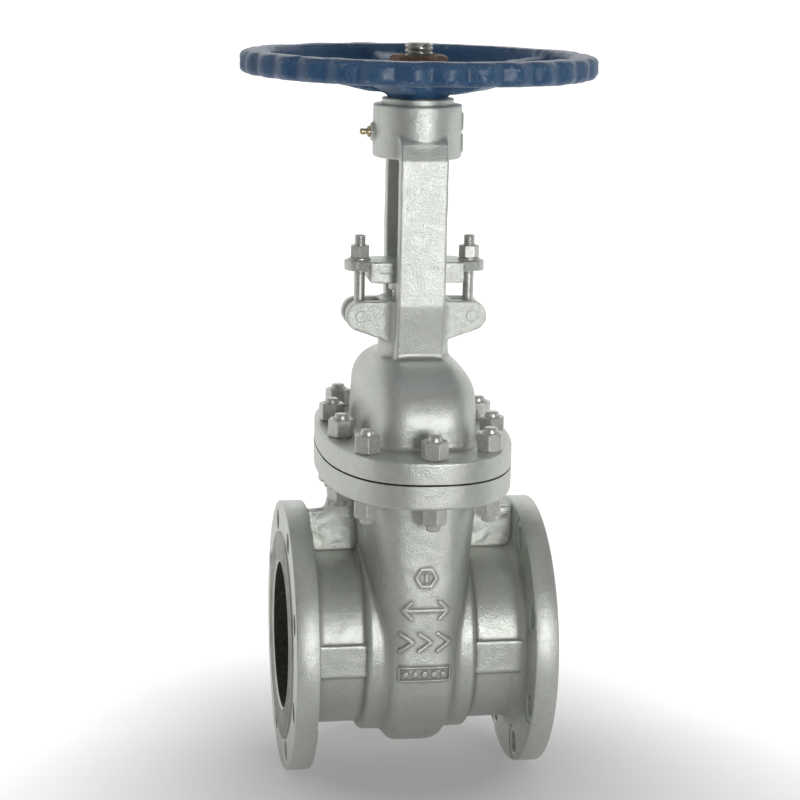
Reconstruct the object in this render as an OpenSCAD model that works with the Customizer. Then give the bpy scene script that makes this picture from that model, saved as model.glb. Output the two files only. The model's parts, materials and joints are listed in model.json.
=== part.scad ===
// Six-inch class 150 wedge gate valve with a rising stem and an outside yoke, shown closed.
// +X runs along the pipe, +Z up the stem, and z = 0 is the lowest point of the end flanges.
// Inside the modules heights are measured from the pipe axis, and at_pipe() lifts them into place.

/* [Pipe run] */
// Length between the two raised faces
face_to_face = 266.7; // [260:0.1:280]
// Diameter of the flow passage
port_d = 152; // [146:1:152]
// Outside diameter of an end flange
flange_od = 279.4; // [276:0.1:290]
// Thickness of an end flange with its raised face
flange_t = 25.4; // [22:0.1:28]
// Diameter of the raised face
raised_face_d = 215.9; // [200:0.1:218]
// Height of the raised face
raised_face_h = 1.6; // [1:0.1:3]
// Bolt circle of an end flange
flange_pcd = 241.3; // [238:0.1:245]
// Number of bolt holes in an end flange
flange_bolts = 8; // [8:4:12]
// Diameter of the end flange bolt holes
flange_hole_d = 22.2; // [18:0.1:24]

/* [Body casting] */
// Outside diameter of the pipe barrels
barrel_d = 184; // [178:1:188]
// Outside diameter of the ridge round each seat
seat_ridge_d = 201; // [198:1:206]
// Half length of the ridge round the seats, along the pipe
seat_ridge_x = 56; // [52:1:60]
// Outside radius of the round bottom of the gate chamber
chamber_r = 113; // [110:1:118]
// Half width of the gate chamber at its bottom
chamber_bottom_x = 33.5; // [32:0.5:36]
// Half width of the gate chamber under the bonnet flange
chamber_top_x = 62; // [60:1:64]
// Half depth of the gate chamber under the bonnet flange
chamber_top_y = 108; // [106:1:112]
// Wall thickness of the castings
wall = 12; // [10:0.5:12]

/* [Bonnet joint] */
// Half width of the oval bonnet flange, along the pipe
oval_x = 96.5; // [94:0.5:100]
// Half length of the oval bonnet flange, across the pipe
oval_y = 158; // [154:1:164]
// Height of the gasket's underside over the pipe axis
joint_h = 197; // [194:0.5:200]
// Thickness of the body's half of the bonnet flange
lower_flange_t = 24; // [20:0.5:25]
// Thickness of the bonnet's half of the bonnet flange
upper_flange_t = 21.5; // [20:0.5:25]
// Thickness of the gasket
gasket_t = 2; // [1:0.5:3]
// Diameter of the bonnet studs
stud_d = 16; // [14:0.5:16]
// Width across the flats of the bonnet nuts
bonnet_nut_af = 24; // [24:0.5:27]
// Height of the bonnet nuts
bonnet_nut_h = 18; // [14:0.5:20]

/* [Yoke] */
// Width of a yoke arm
arm_w = 48; // [44:1:50]
// Thickness of a yoke arm
arm_t = 15; // [12:1:15]
// Distance from the stem to the outside of a yoke arm
arm_out_y = 50; // [50:1:54]
// Outside diameter of the yoke hub
hub_d = 89; // [88:1:94]
// Height of the hub's underside over the pipe axis
hub_bottom_h = 498; // [496:1:502]
// Height of the hub's top over the pipe axis
hub_top_h = 551; // [550:1:552]

/* [Stem and wedge] */
// Diameter of the stem
stem_d = 28; // [26:0.5:28]
// Height of the stem's top over the pipe axis when closed
stem_top_h = 611; // [606:1:616]
// Taper of each face of the wedge
wedge_angle = 5; // [4:0.5:5]
// Radius of the wedge
wedge_r = 84; // [83:0.5:85]
// Half thickness of the wedge at the pipe axis
wedge_half_t = 25.3; // [24:0.1:26]

/* [Handwheel] */
// Outside diameter of the handwheel over its lobes
wheel_d = 357; // [340:1:370]
// Number of grip lobes round the rim
wheel_lobes = 32; // [24:8:40]
// Number of spokes
wheel_spokes = 5; // [4:1:6]

/* [Hidden] */
$fn = 64;

cast_paint = "silver";
steel = "lightslategray";
bronze = "peru";
brass = "goldenrod";
wheel_blue = "steelblue";
rust = "saddlebrown";
graphite = "dimgray";

eps = 0.5;                         // overlap that keeps cuts and joints clean
fit = 0.05;                        // radial clearance of a running fit
pipe_h = flange_od / 2;            // height of the pipe axis over the flange bottoms
face_x = face_to_face / 2;
flange_back_x = face_x - flange_t;
port_r = port_d / 2;
spotface_d = 38;
spotface_depth = 1;
first_bolt_angle = 180 / flange_bolts;

seat_pocket_x = 50;                // inner end of the plain bore, where a seat ring seats
seat_r = 88;                       // outside radius of a seat ring
seat_bore_r = port_r + 1.2;        // inside radius of a seat ring, clear of the port
seat_proud = 6;                    // how far a seat ring stands out of its pocket
taper = tan(wedge_angle);
cavity_mid_x = wedge_half_t + seat_proud;
cavity_top_y = chamber_top_y - wall;
cavity_r = chamber_r - wall;
guide_x = 6;                       // half width of a guide rib
guide_y = 78;                      // how near the stem axis a guide rib reaches
guide_bottom_h = -55;
web_t = 11;                        // thickness of the webs beside the chamber
web_top_h = 134;
web_step_x = 86;
pad_half_h = 17;                   // half height of the flat pads on the barrels
pad_y = 94.5;
pad_end_x = 103;

stud_inset = 18;                   // from the edge of the oval flange to the studs
stud_side_y = 37;
stud_corner_y = 108;
stud_hole_r = 8.75;
oval_power = 2.5;                  // roundness of the oval flange's outline
chamber_power = 2.8;               // roundness of the gate chamber's outline
chamber_edge_r = 24;               // rounding of the gate chamber's lower edges
oval_points = 64;
upper_joint_h = joint_h + gasket_t;
bonnet_flange_top = upper_joint_h + upper_flange_t;
stud_over_top = 5;                 // length of a stud past its upper nut
stud_over_bottom = 7;              // length of a stud past its lower nut
stud_low_h = joint_h - lower_flange_t - bonnet_nut_h - stud_over_bottom;
stud_high_h = bonnet_flange_top + bonnet_nut_h + stud_over_top;
gasket_inside = 3;                 // gap between the cavity and the gasket's inner edge
gasket_inset = 2;                  // from the edge of the flange to the gasket's outer edge

dome_x = 58.5;                     // half width of the dome, along the pipe
dome_power = 3.1;                  // roundness of the dome's outline
dome_top_h = 300;
dome_corner_x = 38;                // rounding of the dome seen along Y
dome_corner_y = 62;                // rounding of the dome seen along X
tower_low_h = 275;                 // where the neck and the arms start inside the dome
bushing_hole_low_h = 260;
neck_r = 36;
neck_top_h = 356;
box_r = 22;                        // radius of the stuffing box
bushing_r = 19;
bushing_bottom_h = 278.3;
bushing_top_h = 300;
packing_bottom_h = 303;
packing_top_h = 345;
packing_count = 5;

arm_bend_h = 354;                  // where a yoke arm turns in towards the dome
arm_foot_y = 42;
arm_foot_h = 296;                  // where the foot of a yoke arm leaves the dome
hub_slope_h = 514;                 // where the slope on top of an arm meets the hub
ear_x = 56.5;                      // centre of an eyebolt pin
ear_h = 339;
ear_r = 15.3;
ear_in_y = 9.5;
ear_out_y = 21.5;
ear_root_x = 28;
ear_root_h = 313;
ear_slope = 15;                    // lean of an ear's lower edge, in degrees from level
ear_shoulder_h = 327;              // lower edge of an ear's straight root
pin_r = 6;

gland_top_h = 394.5;
gland_plate_t = 10.5;
gland_block_h = 373.5;             // underside of the gland flange's middle block
gland_block_x = 47.5;
gland_y = 24;
gland_neck_x = 38;                 // where the gland flange starts to narrow to its ends
gland_end_r = 15.5;
eyebolt_r = 5.5;
eye_r = 13;
eyebolt_top_h = 419.5;
eyebolt_in = 0.5;                  // how far a rod stands inside the centre of its eye
eyebolt_x = ear_x - eyebolt_in;
follower_collar_t = 9;
gland_washer_t = 1.8;
gland_washer_r = 11;
gland_nut_af = 18.3;
gland_nut_h = 12.7;

sleeve_bore_r = stem_d / 2 + fit;
sleeve_low_r = 24;
sleeve_collar_r = 34;
sleeve_neck_r = 29;
sleeve_seat_r = 21;
sleeve_thread_r = 19;
hub_floor_h = hub_bottom_h + 14;
thrust_t = 3;
thrust_gap = 0.1;
collar_bottom_h = hub_floor_h + thrust_t + thrust_gap;
collar_top_h = collar_bottom_h + 11;
cap_bottom_h = collar_top_h + thrust_gap + thrust_t;
cap_rim_h = 6;
cap_rim_r = 36;
hub_bore_r = 35;
nipple_h = 523;
nipple_axis_x = hub_d / 2;
nipple_boss_r = 10;
nipple_boss_t = 2.5;
nipple_hole_l = 10;
nipple_r = 3;
nipple_l = 11.3;                   // length of the nipple outside its boss
nipple_ball_r = 3.4;
nipple_hex_r = 6;
nipple_hex_t = 3.5;

wheel_seat_h = 557.7;              // underside of the handwheel's hub
wheel_top_h = 590;                 // top of the handwheel's hub
wheel_hub_r = 33;
rim_low_h = 579;
rim_high_h = 602;
rim_r = 163;                       // radius of the middle of the rim's section
lobe_r = 15;                       // radius of a grip lobe
lobe_depth = 3.5;                  // how far the lobes stand out of the rim
lobe_half_h = 8;
spoke_w = 27;
spoke_first_angle = 23;
key_w = 7;
wheel_nut_h = 9.5;
wheel_nut_af = 52;
sleeve_top_h = wheel_top_h + wheel_nut_h - 1.5;
// Side view of a spoke, as distance from the stem and height.
spoke_points = [[27, 562], [45, 562], [75, 568], [110, 577], [159, 582], [159, 596],
                [112, 591], [75, 583], [27, 580]];

t_head_h = 88;                     // underside of the stem's T-head
t_head_t = 12;
t_head_y = 20;
t_neck_r = 11;
wedge_boss_h = 109;
wedge_boss_y = 27;
wedge_boss_x = 20;
slot_gap = 0.4;
shoulder_h = wedge_boss_h + 2;     // underside of the stem's backseat shoulder
shoulder_t = 7;

// Lifts what is drawn from the pipe axis to its place over the flange bottoms.
module at_pipe() { translate([0, 0, pipe_h]) children(); }

// A copy on each side of the plane x = 0.
module both_x() { for (s = [0, 1]) mirror([s, 0, 0]) children(); }

// A copy on each side of the plane y = 0.
module both_y() { for (s = [0, 1]) mirror([0, s, 0]) children(); }

// A round bar along the pipe, from x0 to x1.
module bar_x(r, x0, x1) { translate([x0, 0, 0]) rotate([0, 90, 0]) cylinder(r = r, h = x1 - x0); }

// A ring or disc on the stem axis, between two heights; r_in of 0 leaves it solid.
module ring(r_out, r_in, h0, h1) {
    translate([0, 0, h0]) difference() {
        cylinder(r = r_out, h = h1 - h0);
        if (r_in > 0) translate([0, 0, -eps]) cylinder(r = r_in, h = h1 - h0 + 2 * eps);
    }
}

// A point on a rounded oval with half axes a and b; power 2 is an ellipse, more is squarer.
function oval_point(a, b, power, t) =
    [a * sign(cos(t)) * pow(abs(cos(t)), 2 / power), b * sign(sin(t)) * pow(abs(sin(t)), 2 / power)];

module oval(a, b, power) {
    polygon([for (i = [0 : oval_points - 1]) oval_point(a, b, power, (i + 0.5) * 360 / oval_points)]);
}

// An oval block between two heights.
module oval_block(a, b, power, h0, h1) {
    translate([0, 0, h0]) linear_extrude(h1 - h0) oval(a, b, power);
}

// A plate drawn in the XZ plane, between y0 and y1.
module xz_plate(y0, y1) { translate([0, y1, 0]) rotate([90, 0, 0]) linear_extrude(y1 - y0) children(); }

// A plate drawn in the YZ plane, between x0 and x1.
module yz_plate(x0, x1) {
    translate([x0, 0, 0]) rotate([90, 0, 90]) linear_extrude(x1 - x0) children();
}

// A hexagonal prism with its corners along X, standing on height h0.
module hex(across_flats, h, h0) {
    translate([0, 0, h0]) cylinder(r = across_flats / sqrt(3), h = h, $fn = 6);
}

// Where the bonnet studs stand: two on the long axis, four on the sides and four at the corners.
function side_x(y) = oval_x * pow(1 - pow(y / oval_y, oval_power), 1 / oval_power);
stud_places = concat(
    [for (s = [-1, 1]) [0, s * (oval_y - stud_inset)]],
    [for (s = [-1, 1], t = [-1, 1]) [s * (side_x(stud_side_y) - stud_inset), t * stud_side_y]],
    [for (s = [-1, 1], t = [-1, 1])
        [s * (side_x(stud_corner_y) - stud_inset), t * stud_corner_y]]);

module at_studs() { for (p = stud_places) translate([p[0], p[1], 0]) children(); }

// A drum on the pipe axis whose two rims are rounded.
module drum_x(r, half_x, edge_r) {
    rotate([0, 90, 0]) rotate_extrude() {
        translate([0, -half_x]) square([r - edge_r, 2 * half_x]);
        translate([0, edge_r - half_x]) square([r, 2 * (half_x - edge_r)]);
        for (s = [-1, 1]) translate([r - edge_r, s * (half_x - edge_r)]) circle(edge_r);
    }
}

// A plane-sided wedge along Y: half width x0 at height h0 and x1 at height h1.
module taper_block(x0, h0, x1, h1, half_y) {
    xz_plate(-half_y, half_y) polygon([[-x0, h0], [x0, h0], [x1, h1], [-x1, h1]]);
}

module chamber_outside() {
    top_h = joint_h - lower_flange_t + eps;
    intersection() {
        union() {
            oval_block(chamber_top_x + eps, chamber_top_y, chamber_power, 0, top_h);
            drum_x(chamber_r, chamber_top_x - wall, chamber_edge_r);
        }
        taper_block(chamber_bottom_x, -chamber_r - eps, chamber_top_x, top_h, chamber_r + eps);
    }
}

module chamber_inside() {
    top_h = joint_h + eps;
    low_h = -cavity_r - eps;
    intersection() {
        union() {
            oval_block(chamber_top_x - wall, cavity_top_y, chamber_power, 0, top_h);
            bar_x(cavity_r, -chamber_top_x, chamber_top_x);
        }
        taper_block(cavity_mid_x + low_h * taper, low_h, cavity_mid_x + top_h * taper, top_h,
                    chamber_r);
    }
}

module end_flange() {
    difference() {
        union() {
            bar_x(flange_od / 2, flange_back_x, face_x - raised_face_h);
            bar_x(raised_face_d / 2, flange_back_x, face_x);
        }
        for (i = [0 : flange_bolts - 1]) rotate([first_bolt_angle + i * 360 / flange_bolts, 0, 0])
            translate([0, flange_pcd / 2, 0]) {
                bar_x(flange_hole_d / 2, flange_back_x - eps, face_x + eps);
                bar_x(spotface_d / 2, flange_back_x - eps, flange_back_x + spotface_depth);
            }
    }
}

// Half of the outline of the web that joins the end flanges, the barrels and the bonnet flange.
module web_outline() {
    polygon([[0, 0], [flange_back_x + eps, 0], [flange_back_x + eps, web_top_h],
             [web_step_x, web_top_h], [web_step_x, joint_h - lower_flange_t + eps],
             [0, joint_h - lower_flange_t + eps]]);
}

module body() {
    color(cast_paint) at_pipe() {
        difference() {
            union() {
                both_x() {
                    end_flange();
                    bar_x(barrel_d / 2, 0, flange_back_x + eps);
                    bar_x(seat_ridge_d / 2, 0, seat_ridge_x);
                    xz_plate(-web_t / 2, web_t / 2) web_outline();
                    both_y() translate([0, 0, -pad_half_h])
                        cube([pad_end_x, pad_y, 2 * pad_half_h]);
                }
                chamber_outside();
                oval_block(oval_x, oval_y, oval_power, joint_h - lower_flange_t, joint_h);
            }
            chamber_inside();
            bar_x(port_r, -face_x - eps, face_x + eps);
            bar_x(seat_r, -seat_pocket_x, seat_pocket_x);
            at_studs() translate([0, 0, joint_h - lower_flange_t - eps])
                cylinder(r = stud_hole_r, h = lower_flange_t + 2 * eps);
        }
        guide_ribs();
    }
}

// The two ribs that the wedge slides on, cast on the front and back walls of the chamber.
module guide_ribs() {
    both_y() intersection() {
        union() {
            oval_block(chamber_top_x, chamber_top_y - 1, chamber_power, 0, joint_h);
            bar_x(chamber_r - 1, -chamber_top_x, chamber_top_x);
        }
        translate([-guide_x, guide_y, guide_bottom_h])
            cube([2 * guide_x, chamber_r - guide_y, joint_h - guide_bottom_h]);
    }
}

// A seat ring on the +X side; its inner face leans with the wedge.
module seat_ring() {
    color(steel) at_pipe() difference() {
        bar_x(seat_r, wedge_half_t - seat_r * taper, seat_pocket_x);
        bar_x(seat_bore_r, 0, seat_pocket_x + eps);
        taper_block(wedge_half_t - 2 * seat_r * taper + fit, -2 * seat_r,
                    wedge_half_t + 2 * seat_r * taper + fit, 2 * seat_r, 2 * seat_r);
    }
}

module seat_ring_left() { mirror([1, 0, 0]) seat_ring(); }

module seat_ring_right() { seat_ring(); }

module gate_wedge() {
    color(steel) at_pipe() difference() {
        union() {
            intersection() {
                bar_x(wedge_r, -chamber_top_x, chamber_top_x);
                taper_block(wedge_half_t - 2 * wedge_r * taper, -2 * wedge_r,
                            wedge_half_t + 2 * wedge_r * taper, 2 * wedge_r, 2 * wedge_r);
            }
            translate([-wedge_boss_x, -wedge_boss_y, 0])
                cube([2 * wedge_boss_x, 2 * wedge_boss_y, wedge_boss_h]);
        }
        translate([-wedge_r / 2, -t_head_y - slot_gap, t_head_h - slot_gap])
            cube([wedge_r, 2 * (t_head_y + slot_gap), t_head_t + 2 * slot_gap]);
        translate([-wedge_r / 2, -t_neck_r - slot_gap, t_head_h])
            cube([wedge_r, 2 * (t_neck_r + slot_gap), wedge_boss_h]);
        both_y() translate([-guide_x - slot_gap, guide_y - 2 * slot_gap, -wedge_r])
            cube([2 * (guide_x + slot_gap), wedge_r, 2 * wedge_r]);
    }
}

module stem() {
    color(steel) at_pipe() {
        translate([-t_neck_r, -t_head_y, t_head_h]) cube([2 * t_neck_r, 2 * t_head_y, t_head_t]);
        ring(t_neck_r, 0, t_head_h + eps, shoulder_h + eps);
        ring(bushing_r - 1, 0, shoulder_h, shoulder_h + shoulder_t);
        ring(stem_d / 2, 0, shoulder_h + eps, stem_top_h);
    }
}

// Outline of the dome seen along one axis: straight sides and a round shoulder of radius r.
module dome_outline(half_w, r, h0, h1) {
    translate([-half_w, h0]) square([2 * half_w, h1 - r - h0]);
    translate([r - half_w, h0]) square([2 * (half_w - r), h1 - h0]);
    for (s = [-1, 1]) translate([s * (half_w - r), h1 - r]) circle(r);
}

// A dome with an oval plan and round shoulders, grown inwards by the given inset.
module dome(inset, h0) {
    half_x = dome_x - inset;
    half_y = chamber_top_y - inset;
    top_h = dome_top_h - inset;
    intersection() {
        oval_block(half_x, half_y, dome_power, h0, top_h);
        xz_plate(-half_y, half_y)
            dome_outline(half_x, dome_corner_x - inset / 2, h0 - eps, top_h);
        yz_plate(-half_x, half_x)
            dome_outline(half_y, dome_corner_y - inset / 2, h0 - eps, top_h);
    }
}

// Outline of a yoke arm seen along the pipe: foot on the dome, bend, straight run and top slope.
module arm_outline() {
    polygon([[arm_foot_y - arm_t, tower_low_h], [arm_foot_y, tower_low_h],
             [arm_foot_y, arm_foot_h], [arm_out_y, arm_bend_h], [arm_out_y, hub_bottom_h],
             [hub_d / 2 - eps, hub_slope_h], [arm_out_y - arm_t, hub_slope_h],
             [arm_out_y - arm_t, arm_bend_h]]);
}

// One clevis ear with a round end, for the eyebolt pin; drawn on the +X side.
module ear_outline() {
    difference() {
        union() {
            translate([ear_x, ear_h]) circle(ear_r);
            translate([neck_r / 2, ear_shoulder_h])
                square([ear_x - neck_r / 2, ear_h + ear_r - ear_shoulder_h]);
            polygon([[neck_r / 2, ear_root_h], [ear_root_x, ear_root_h],
                     [ear_x + ear_r * sin(ear_slope), ear_h - ear_r * cos(ear_slope)],
                     [ear_x, ear_h + ear_r], [neck_r / 2, ear_h + ear_r]]);
        }
        translate([ear_x, ear_h]) circle(pin_r + fit);
    }
}

module bonnet() {
    color(cast_paint) at_pipe() difference() {
        union() {
            oval_block(oval_x, oval_y, oval_power, upper_joint_h, bonnet_flange_top);
            dome(0, bonnet_flange_top - eps);
            ring(neck_r, 0, tower_low_h, neck_top_h);
            both_y() yz_plate(-arm_w / 2, arm_w / 2) arm_outline();
            both_x() both_y() xz_plate(ear_in_y, ear_out_y) ear_outline();
            ring(hub_d / 2, 0, hub_bottom_h, hub_top_h);
            nipple_boss();
        }
        dome(wall, upper_joint_h - eps);
        ring(bushing_r + fit, 0, bushing_hole_low_h, bushing_top_h + eps);
        ring(box_r + fit, 0, bushing_top_h, neck_top_h + eps);
        ring(sleeve_low_r + fit, 0, hub_bottom_h - eps, hub_floor_h + eps);
        ring(hub_bore_r, 0, hub_floor_h, hub_top_h + eps);
        translate([0, 0, nipple_h])
            bar_x(nipple_r, -nipple_axis_x - nipple_hole_l, -hub_bore_r + eps);
        at_studs() translate([0, 0, upper_joint_h - eps])
            cylinder(r = stud_hole_r, h = upper_flange_t + 2 * eps);
    }
}

// The round boss on the hub that takes the grease nipple.
module nipple_boss() {
    translate([0, 0, nipple_h])
        bar_x(nipple_boss_r, -nipple_axis_x - nipple_boss_t, -hub_bore_r - eps);
}

module bonnet_gasket() {
    color(graphite) at_pipe() difference() {
        oval_block(oval_x - gasket_inset, oval_y - gasket_inset, oval_power,
                   joint_h, upper_joint_h);
        oval_block(chamber_top_x - wall + gasket_inside, cavity_top_y + gasket_inside,
                   chamber_power, joint_h - eps, upper_joint_h + eps);
        at_studs() translate([0, 0, joint_h - eps])
            cylinder(r = stud_hole_r, h = gasket_t + 2 * eps);
    }
}

module backseat_bushing() {
    color(bronze) at_pipe() ring(bushing_r, stem_d / 2 + 4 * fit, bushing_bottom_h, bushing_top_h);
}

module packing_washer() {
    color(steel) at_pipe() ring(box_r, stem_d / 2 + 4 * fit, bushing_top_h, packing_bottom_h);
}

module packing_rings() {
    pitch = (packing_top_h - packing_bottom_h) / packing_count;
    color(graphite) at_pipe() for (i = [0 : packing_count - 1])
        ring(box_r, stem_d / 2 + fit, packing_bottom_h + i * pitch,
             packing_bottom_h + (i + 1) * pitch - 0.2);
}

module gland_follower() {
    color(steel) at_pipe() {
        ring(box_r - 4 * fit, stem_d / 2 + 4 * fit, packing_top_h, gland_block_h);
        ring(box_r + 4, stem_d / 2 + 4 * fit, gland_block_h - follower_collar_t, gland_block_h);
    }
}

module gland_flange() {
    plate_h = gland_top_h - gland_plate_t;
    end_y = gland_end_r - eps;
    color(cast_paint) at_pipe() difference() {
        union() {
            translate([-gland_block_x, -gland_y, gland_block_h])
                cube([2 * gland_block_x, 2 * gland_y, gland_top_h - gland_block_h]);
            both_x() {
                translate([eyebolt_x, 0, plate_h]) cylinder(r = gland_end_r, h = gland_plate_t);
                translate([0, 0, plate_h]) linear_extrude(gland_plate_t)
                    polygon([[0, -gland_y], [gland_neck_x, -gland_y], [ear_x, -end_y],
                             [ear_x, end_y], [gland_neck_x, gland_y], [0, gland_y]]);
            }
        }
        ring(stem_d / 2 + 2, 0, gland_block_h - eps, gland_top_h + eps);
        both_x() translate([eyebolt_x, 0, plate_h - eps])
            cylinder(r = eyebolt_r + 1, h = gland_plate_t + 2 * eps);
    }
}

// An eyebolt on the +X side: a turned eye round the pin and a rod up through the gland flange.
module eyebolt() {
    color(steel) at_pipe() translate([ear_x, 0, ear_h]) difference() {
        union() {
            rotate([90, 0, 0]) cylinder(r = eye_r, h = 2 * (ear_in_y - eps), center = true);
            translate([-eyebolt_in, 0, 0]) cylinder(r = eyebolt_r, h = eyebolt_top_h - ear_h);
        }
        rotate([90, 0, 0]) cylinder(r = pin_r + fit, h = 4 * ear_in_y, center = true);
    }
}

module eyebolt_left() { mirror([1, 0, 0]) eyebolt(); }

module eyebolt_right() { eyebolt(); }

module eyebolt_pins() {
    color(steel) at_pipe() both_x() translate([ear_x, 0, ear_h]) rotate([90, 0, 0])
        cylinder(r = pin_r, h = 2 * (ear_out_y + eps), center = true);
}

module gland_washers() {
    color(steel) at_pipe() both_x() translate([eyebolt_x, 0, 0])
        ring(gland_washer_r, eyebolt_r + fit, gland_top_h, gland_top_h + gland_washer_t);
}

module gland_nuts() {
    base_h = gland_top_h + gland_washer_t;
    color(steel) at_pipe() both_x() translate([eyebolt_x, 0, 0]) difference() {
        hex(gland_nut_af, gland_nut_h, base_h);
        ring(eyebolt_r + fit, 0, base_h - eps, base_h + gland_nut_h + eps);
    }
}

module bonnet_studs() {
    color(steel) at_pipe() at_studs() ring(stud_d / 2, 0, stud_low_h, stud_high_h);
}

// A full set of bonnet nuts standing on height h0.
module bonnet_nuts(h0) {
    color(steel) at_pipe() at_studs() difference() {
        rotate([0, 0, 30]) hex(bonnet_nut_af, bonnet_nut_h, h0);
        ring(stud_d / 2 + fit, 0, h0 - eps, h0 + bonnet_nut_h + eps);
    }
}

module bonnet_nuts_upper() { bonnet_nuts(bonnet_flange_top); }

module bonnet_nuts_lower() { bonnet_nuts(joint_h - lower_flange_t - bonnet_nut_h); }

module yoke_sleeve() {
    color(steel) at_pipe() difference() {
        union() {
            ring(sleeve_low_r, 0, hub_bottom_h + 2, collar_bottom_h + eps);
            ring(sleeve_collar_r, 0, collar_bottom_h, collar_top_h);
            ring(sleeve_neck_r, 0, collar_top_h - eps, wheel_seat_h);
            ring(sleeve_seat_r, 0, wheel_seat_h - eps, wheel_top_h);
            ring(sleeve_thread_r, 0, wheel_top_h - eps, sleeve_top_h);
        }
        ring(sleeve_bore_r, 0, hub_bottom_h, stem_top_h);
        keyway();
    }
}

// The slot for the key, cut half in the sleeve and half in the handwheel's hub.
module keyway() {
    translate([sleeve_seat_r - key_w / 2, -key_w / 2, wheel_seat_h])
        cube([key_w, key_w, wheel_top_h - wheel_seat_h + eps]);
}

module handwheel_key() {
    color(steel) at_pipe()
        translate([sleeve_seat_r - key_w / 2 + fit, -key_w / 2 + fit, wheel_seat_h + 2 * eps])
            cube([key_w - 2 * fit, key_w - 2 * fit, wheel_top_h - wheel_seat_h - 2 * eps]);
}

module thrust_washer_lower() {
    color(bronze) at_pipe() ring(hub_bore_r - 4 * fit, sleeve_low_r + 4 * fit,
                                 hub_floor_h, hub_floor_h + thrust_t);
}

module thrust_washer_upper() {
    color(bronze) at_pipe() ring(hub_bore_r - 4 * fit, sleeve_neck_r + 4 * fit,
                                 collar_top_h + thrust_gap, cap_bottom_h);
}

module bearing_cap() {
    color(cast_paint) at_pipe() difference() {
        union() {
            ring(hub_bore_r - fit, 0, cap_bottom_h, hub_top_h + eps);
            ring(cap_rim_r, 0, hub_top_h, hub_top_h + cap_rim_h);
        }
        ring(sleeve_neck_r + fit, 0, cap_bottom_h - eps, hub_top_h + cap_rim_h + eps);
    }
}

module grease_nipple() {
    seat_x = nipple_axis_x + nipple_boss_t;
    ball_x = seat_x + nipple_l - nipple_ball_r;
    color(brass) at_pipe() translate([0, 0, nipple_h]) mirror([1, 0, 0]) {
        bar_x(nipple_r - fit, nipple_axis_x - nipple_hole_l / 2, ball_x);
        translate([seat_x, 0, 0]) rotate([0, 90, 0])
            cylinder(r = nipple_hex_r, h = nipple_hex_t, $fn = 6);
        translate([ball_x, 0, 0]) sphere(nipple_ball_r);
    }
}

module handwheel() {
    rim_mid_h = (rim_low_h + rim_high_h) / 2;
    rim_half = (rim_high_h - rim_low_h) / 2;
    rim_edge = wheel_d / 2 - lobe_depth - rim_r - rim_half;
    color(wheel_blue) at_pipe() difference() {
        union() {
            rotate_extrude($fn = 96) translate([rim_r, rim_mid_h]) {
                for (s = [-1, 1]) translate([s * rim_edge, 0]) circle(rim_half, $fn = 24);
                square([2 * rim_edge, 2 * rim_half], center = true);
            }
            for (i = [0 : wheel_lobes - 1]) rotate([0, 0, i * 360 / wheel_lobes])
                translate([wheel_d / 2 - lobe_r, 0, rim_mid_h - lobe_half_h])
                    cylinder(r = lobe_r, h = 2 * lobe_half_h, $fn = 32);
            for (i = [0 : wheel_spokes - 1])
                rotate([0, 0, spoke_first_angle + i * 360 / wheel_spokes])
                    xz_plate(-spoke_w / 2, spoke_w / 2) polygon(spoke_points);
            ring(wheel_hub_r, 0, wheel_seat_h, wheel_top_h);
        }
        ring(sleeve_seat_r + fit, 0, wheel_seat_h - eps, wheel_top_h + eps);
        keyway();
    }
}

module handwheel_nut() {
    color(rust) at_pipe() difference() {
        hex(wheel_nut_af, wheel_nut_h, wheel_top_h);
        ring(sleeve_thread_r + fit, 0, wheel_top_h - eps, wheel_top_h + wheel_nut_h + eps);
    }
}

body();
seat_ring_left();
seat_ring_right();
gate_wedge();
stem();
bonnet();
bonnet_gasket();
backseat_bushing();
packing_washer();
packing_rings();
gland_follower();
gland_flange();
eyebolt_left();
eyebolt_right();
eyebolt_pins();
gland_washers();
gland_nuts();
bonnet_studs();
bonnet_nuts_upper();
bonnet_nuts_lower();
yoke_sleeve();
thrust_washer_lower();
thrust_washer_upper();
bearing_cap();
grease_nipple();
handwheel();
handwheel_key();
handwheel_nut();
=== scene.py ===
"""A six-inch flanged gate valve: the looks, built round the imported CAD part.

Lengths here are millimetres and heights are measured from the pipe axis, as in the part's own source.
to_frame() turns them into the frame's metres when a mesh is made. Castings are signed-distance fields
with fillets, then machined by boolean cuts; turned pieces, nuts and threads are stacks of rings.
"""

import functools
import json
import math

import bpy
import numpy as np
import openvdb
from mathutils import Matrix, Vector


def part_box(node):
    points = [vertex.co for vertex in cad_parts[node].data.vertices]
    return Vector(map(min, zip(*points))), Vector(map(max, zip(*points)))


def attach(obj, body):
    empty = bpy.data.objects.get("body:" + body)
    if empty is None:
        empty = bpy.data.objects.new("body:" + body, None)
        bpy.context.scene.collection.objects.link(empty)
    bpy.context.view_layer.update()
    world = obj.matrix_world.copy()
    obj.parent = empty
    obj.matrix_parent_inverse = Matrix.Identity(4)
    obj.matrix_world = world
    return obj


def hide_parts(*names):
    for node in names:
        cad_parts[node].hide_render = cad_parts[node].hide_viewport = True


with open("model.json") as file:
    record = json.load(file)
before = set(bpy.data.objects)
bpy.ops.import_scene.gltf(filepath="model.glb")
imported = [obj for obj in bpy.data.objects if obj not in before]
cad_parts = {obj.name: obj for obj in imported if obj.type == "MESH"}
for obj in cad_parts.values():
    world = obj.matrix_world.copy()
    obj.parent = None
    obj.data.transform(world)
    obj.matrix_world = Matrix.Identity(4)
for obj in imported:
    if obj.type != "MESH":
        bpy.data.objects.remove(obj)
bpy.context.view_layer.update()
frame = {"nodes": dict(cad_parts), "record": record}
mounts = {mount["name"]: mount for mount in frame["record"]["mounts"]}
scene = bpy.context.scene

# ---- sizes, from the frame and the record

pipe_h = mounts["port_right"]["pos_m"][2] * 1000


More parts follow.
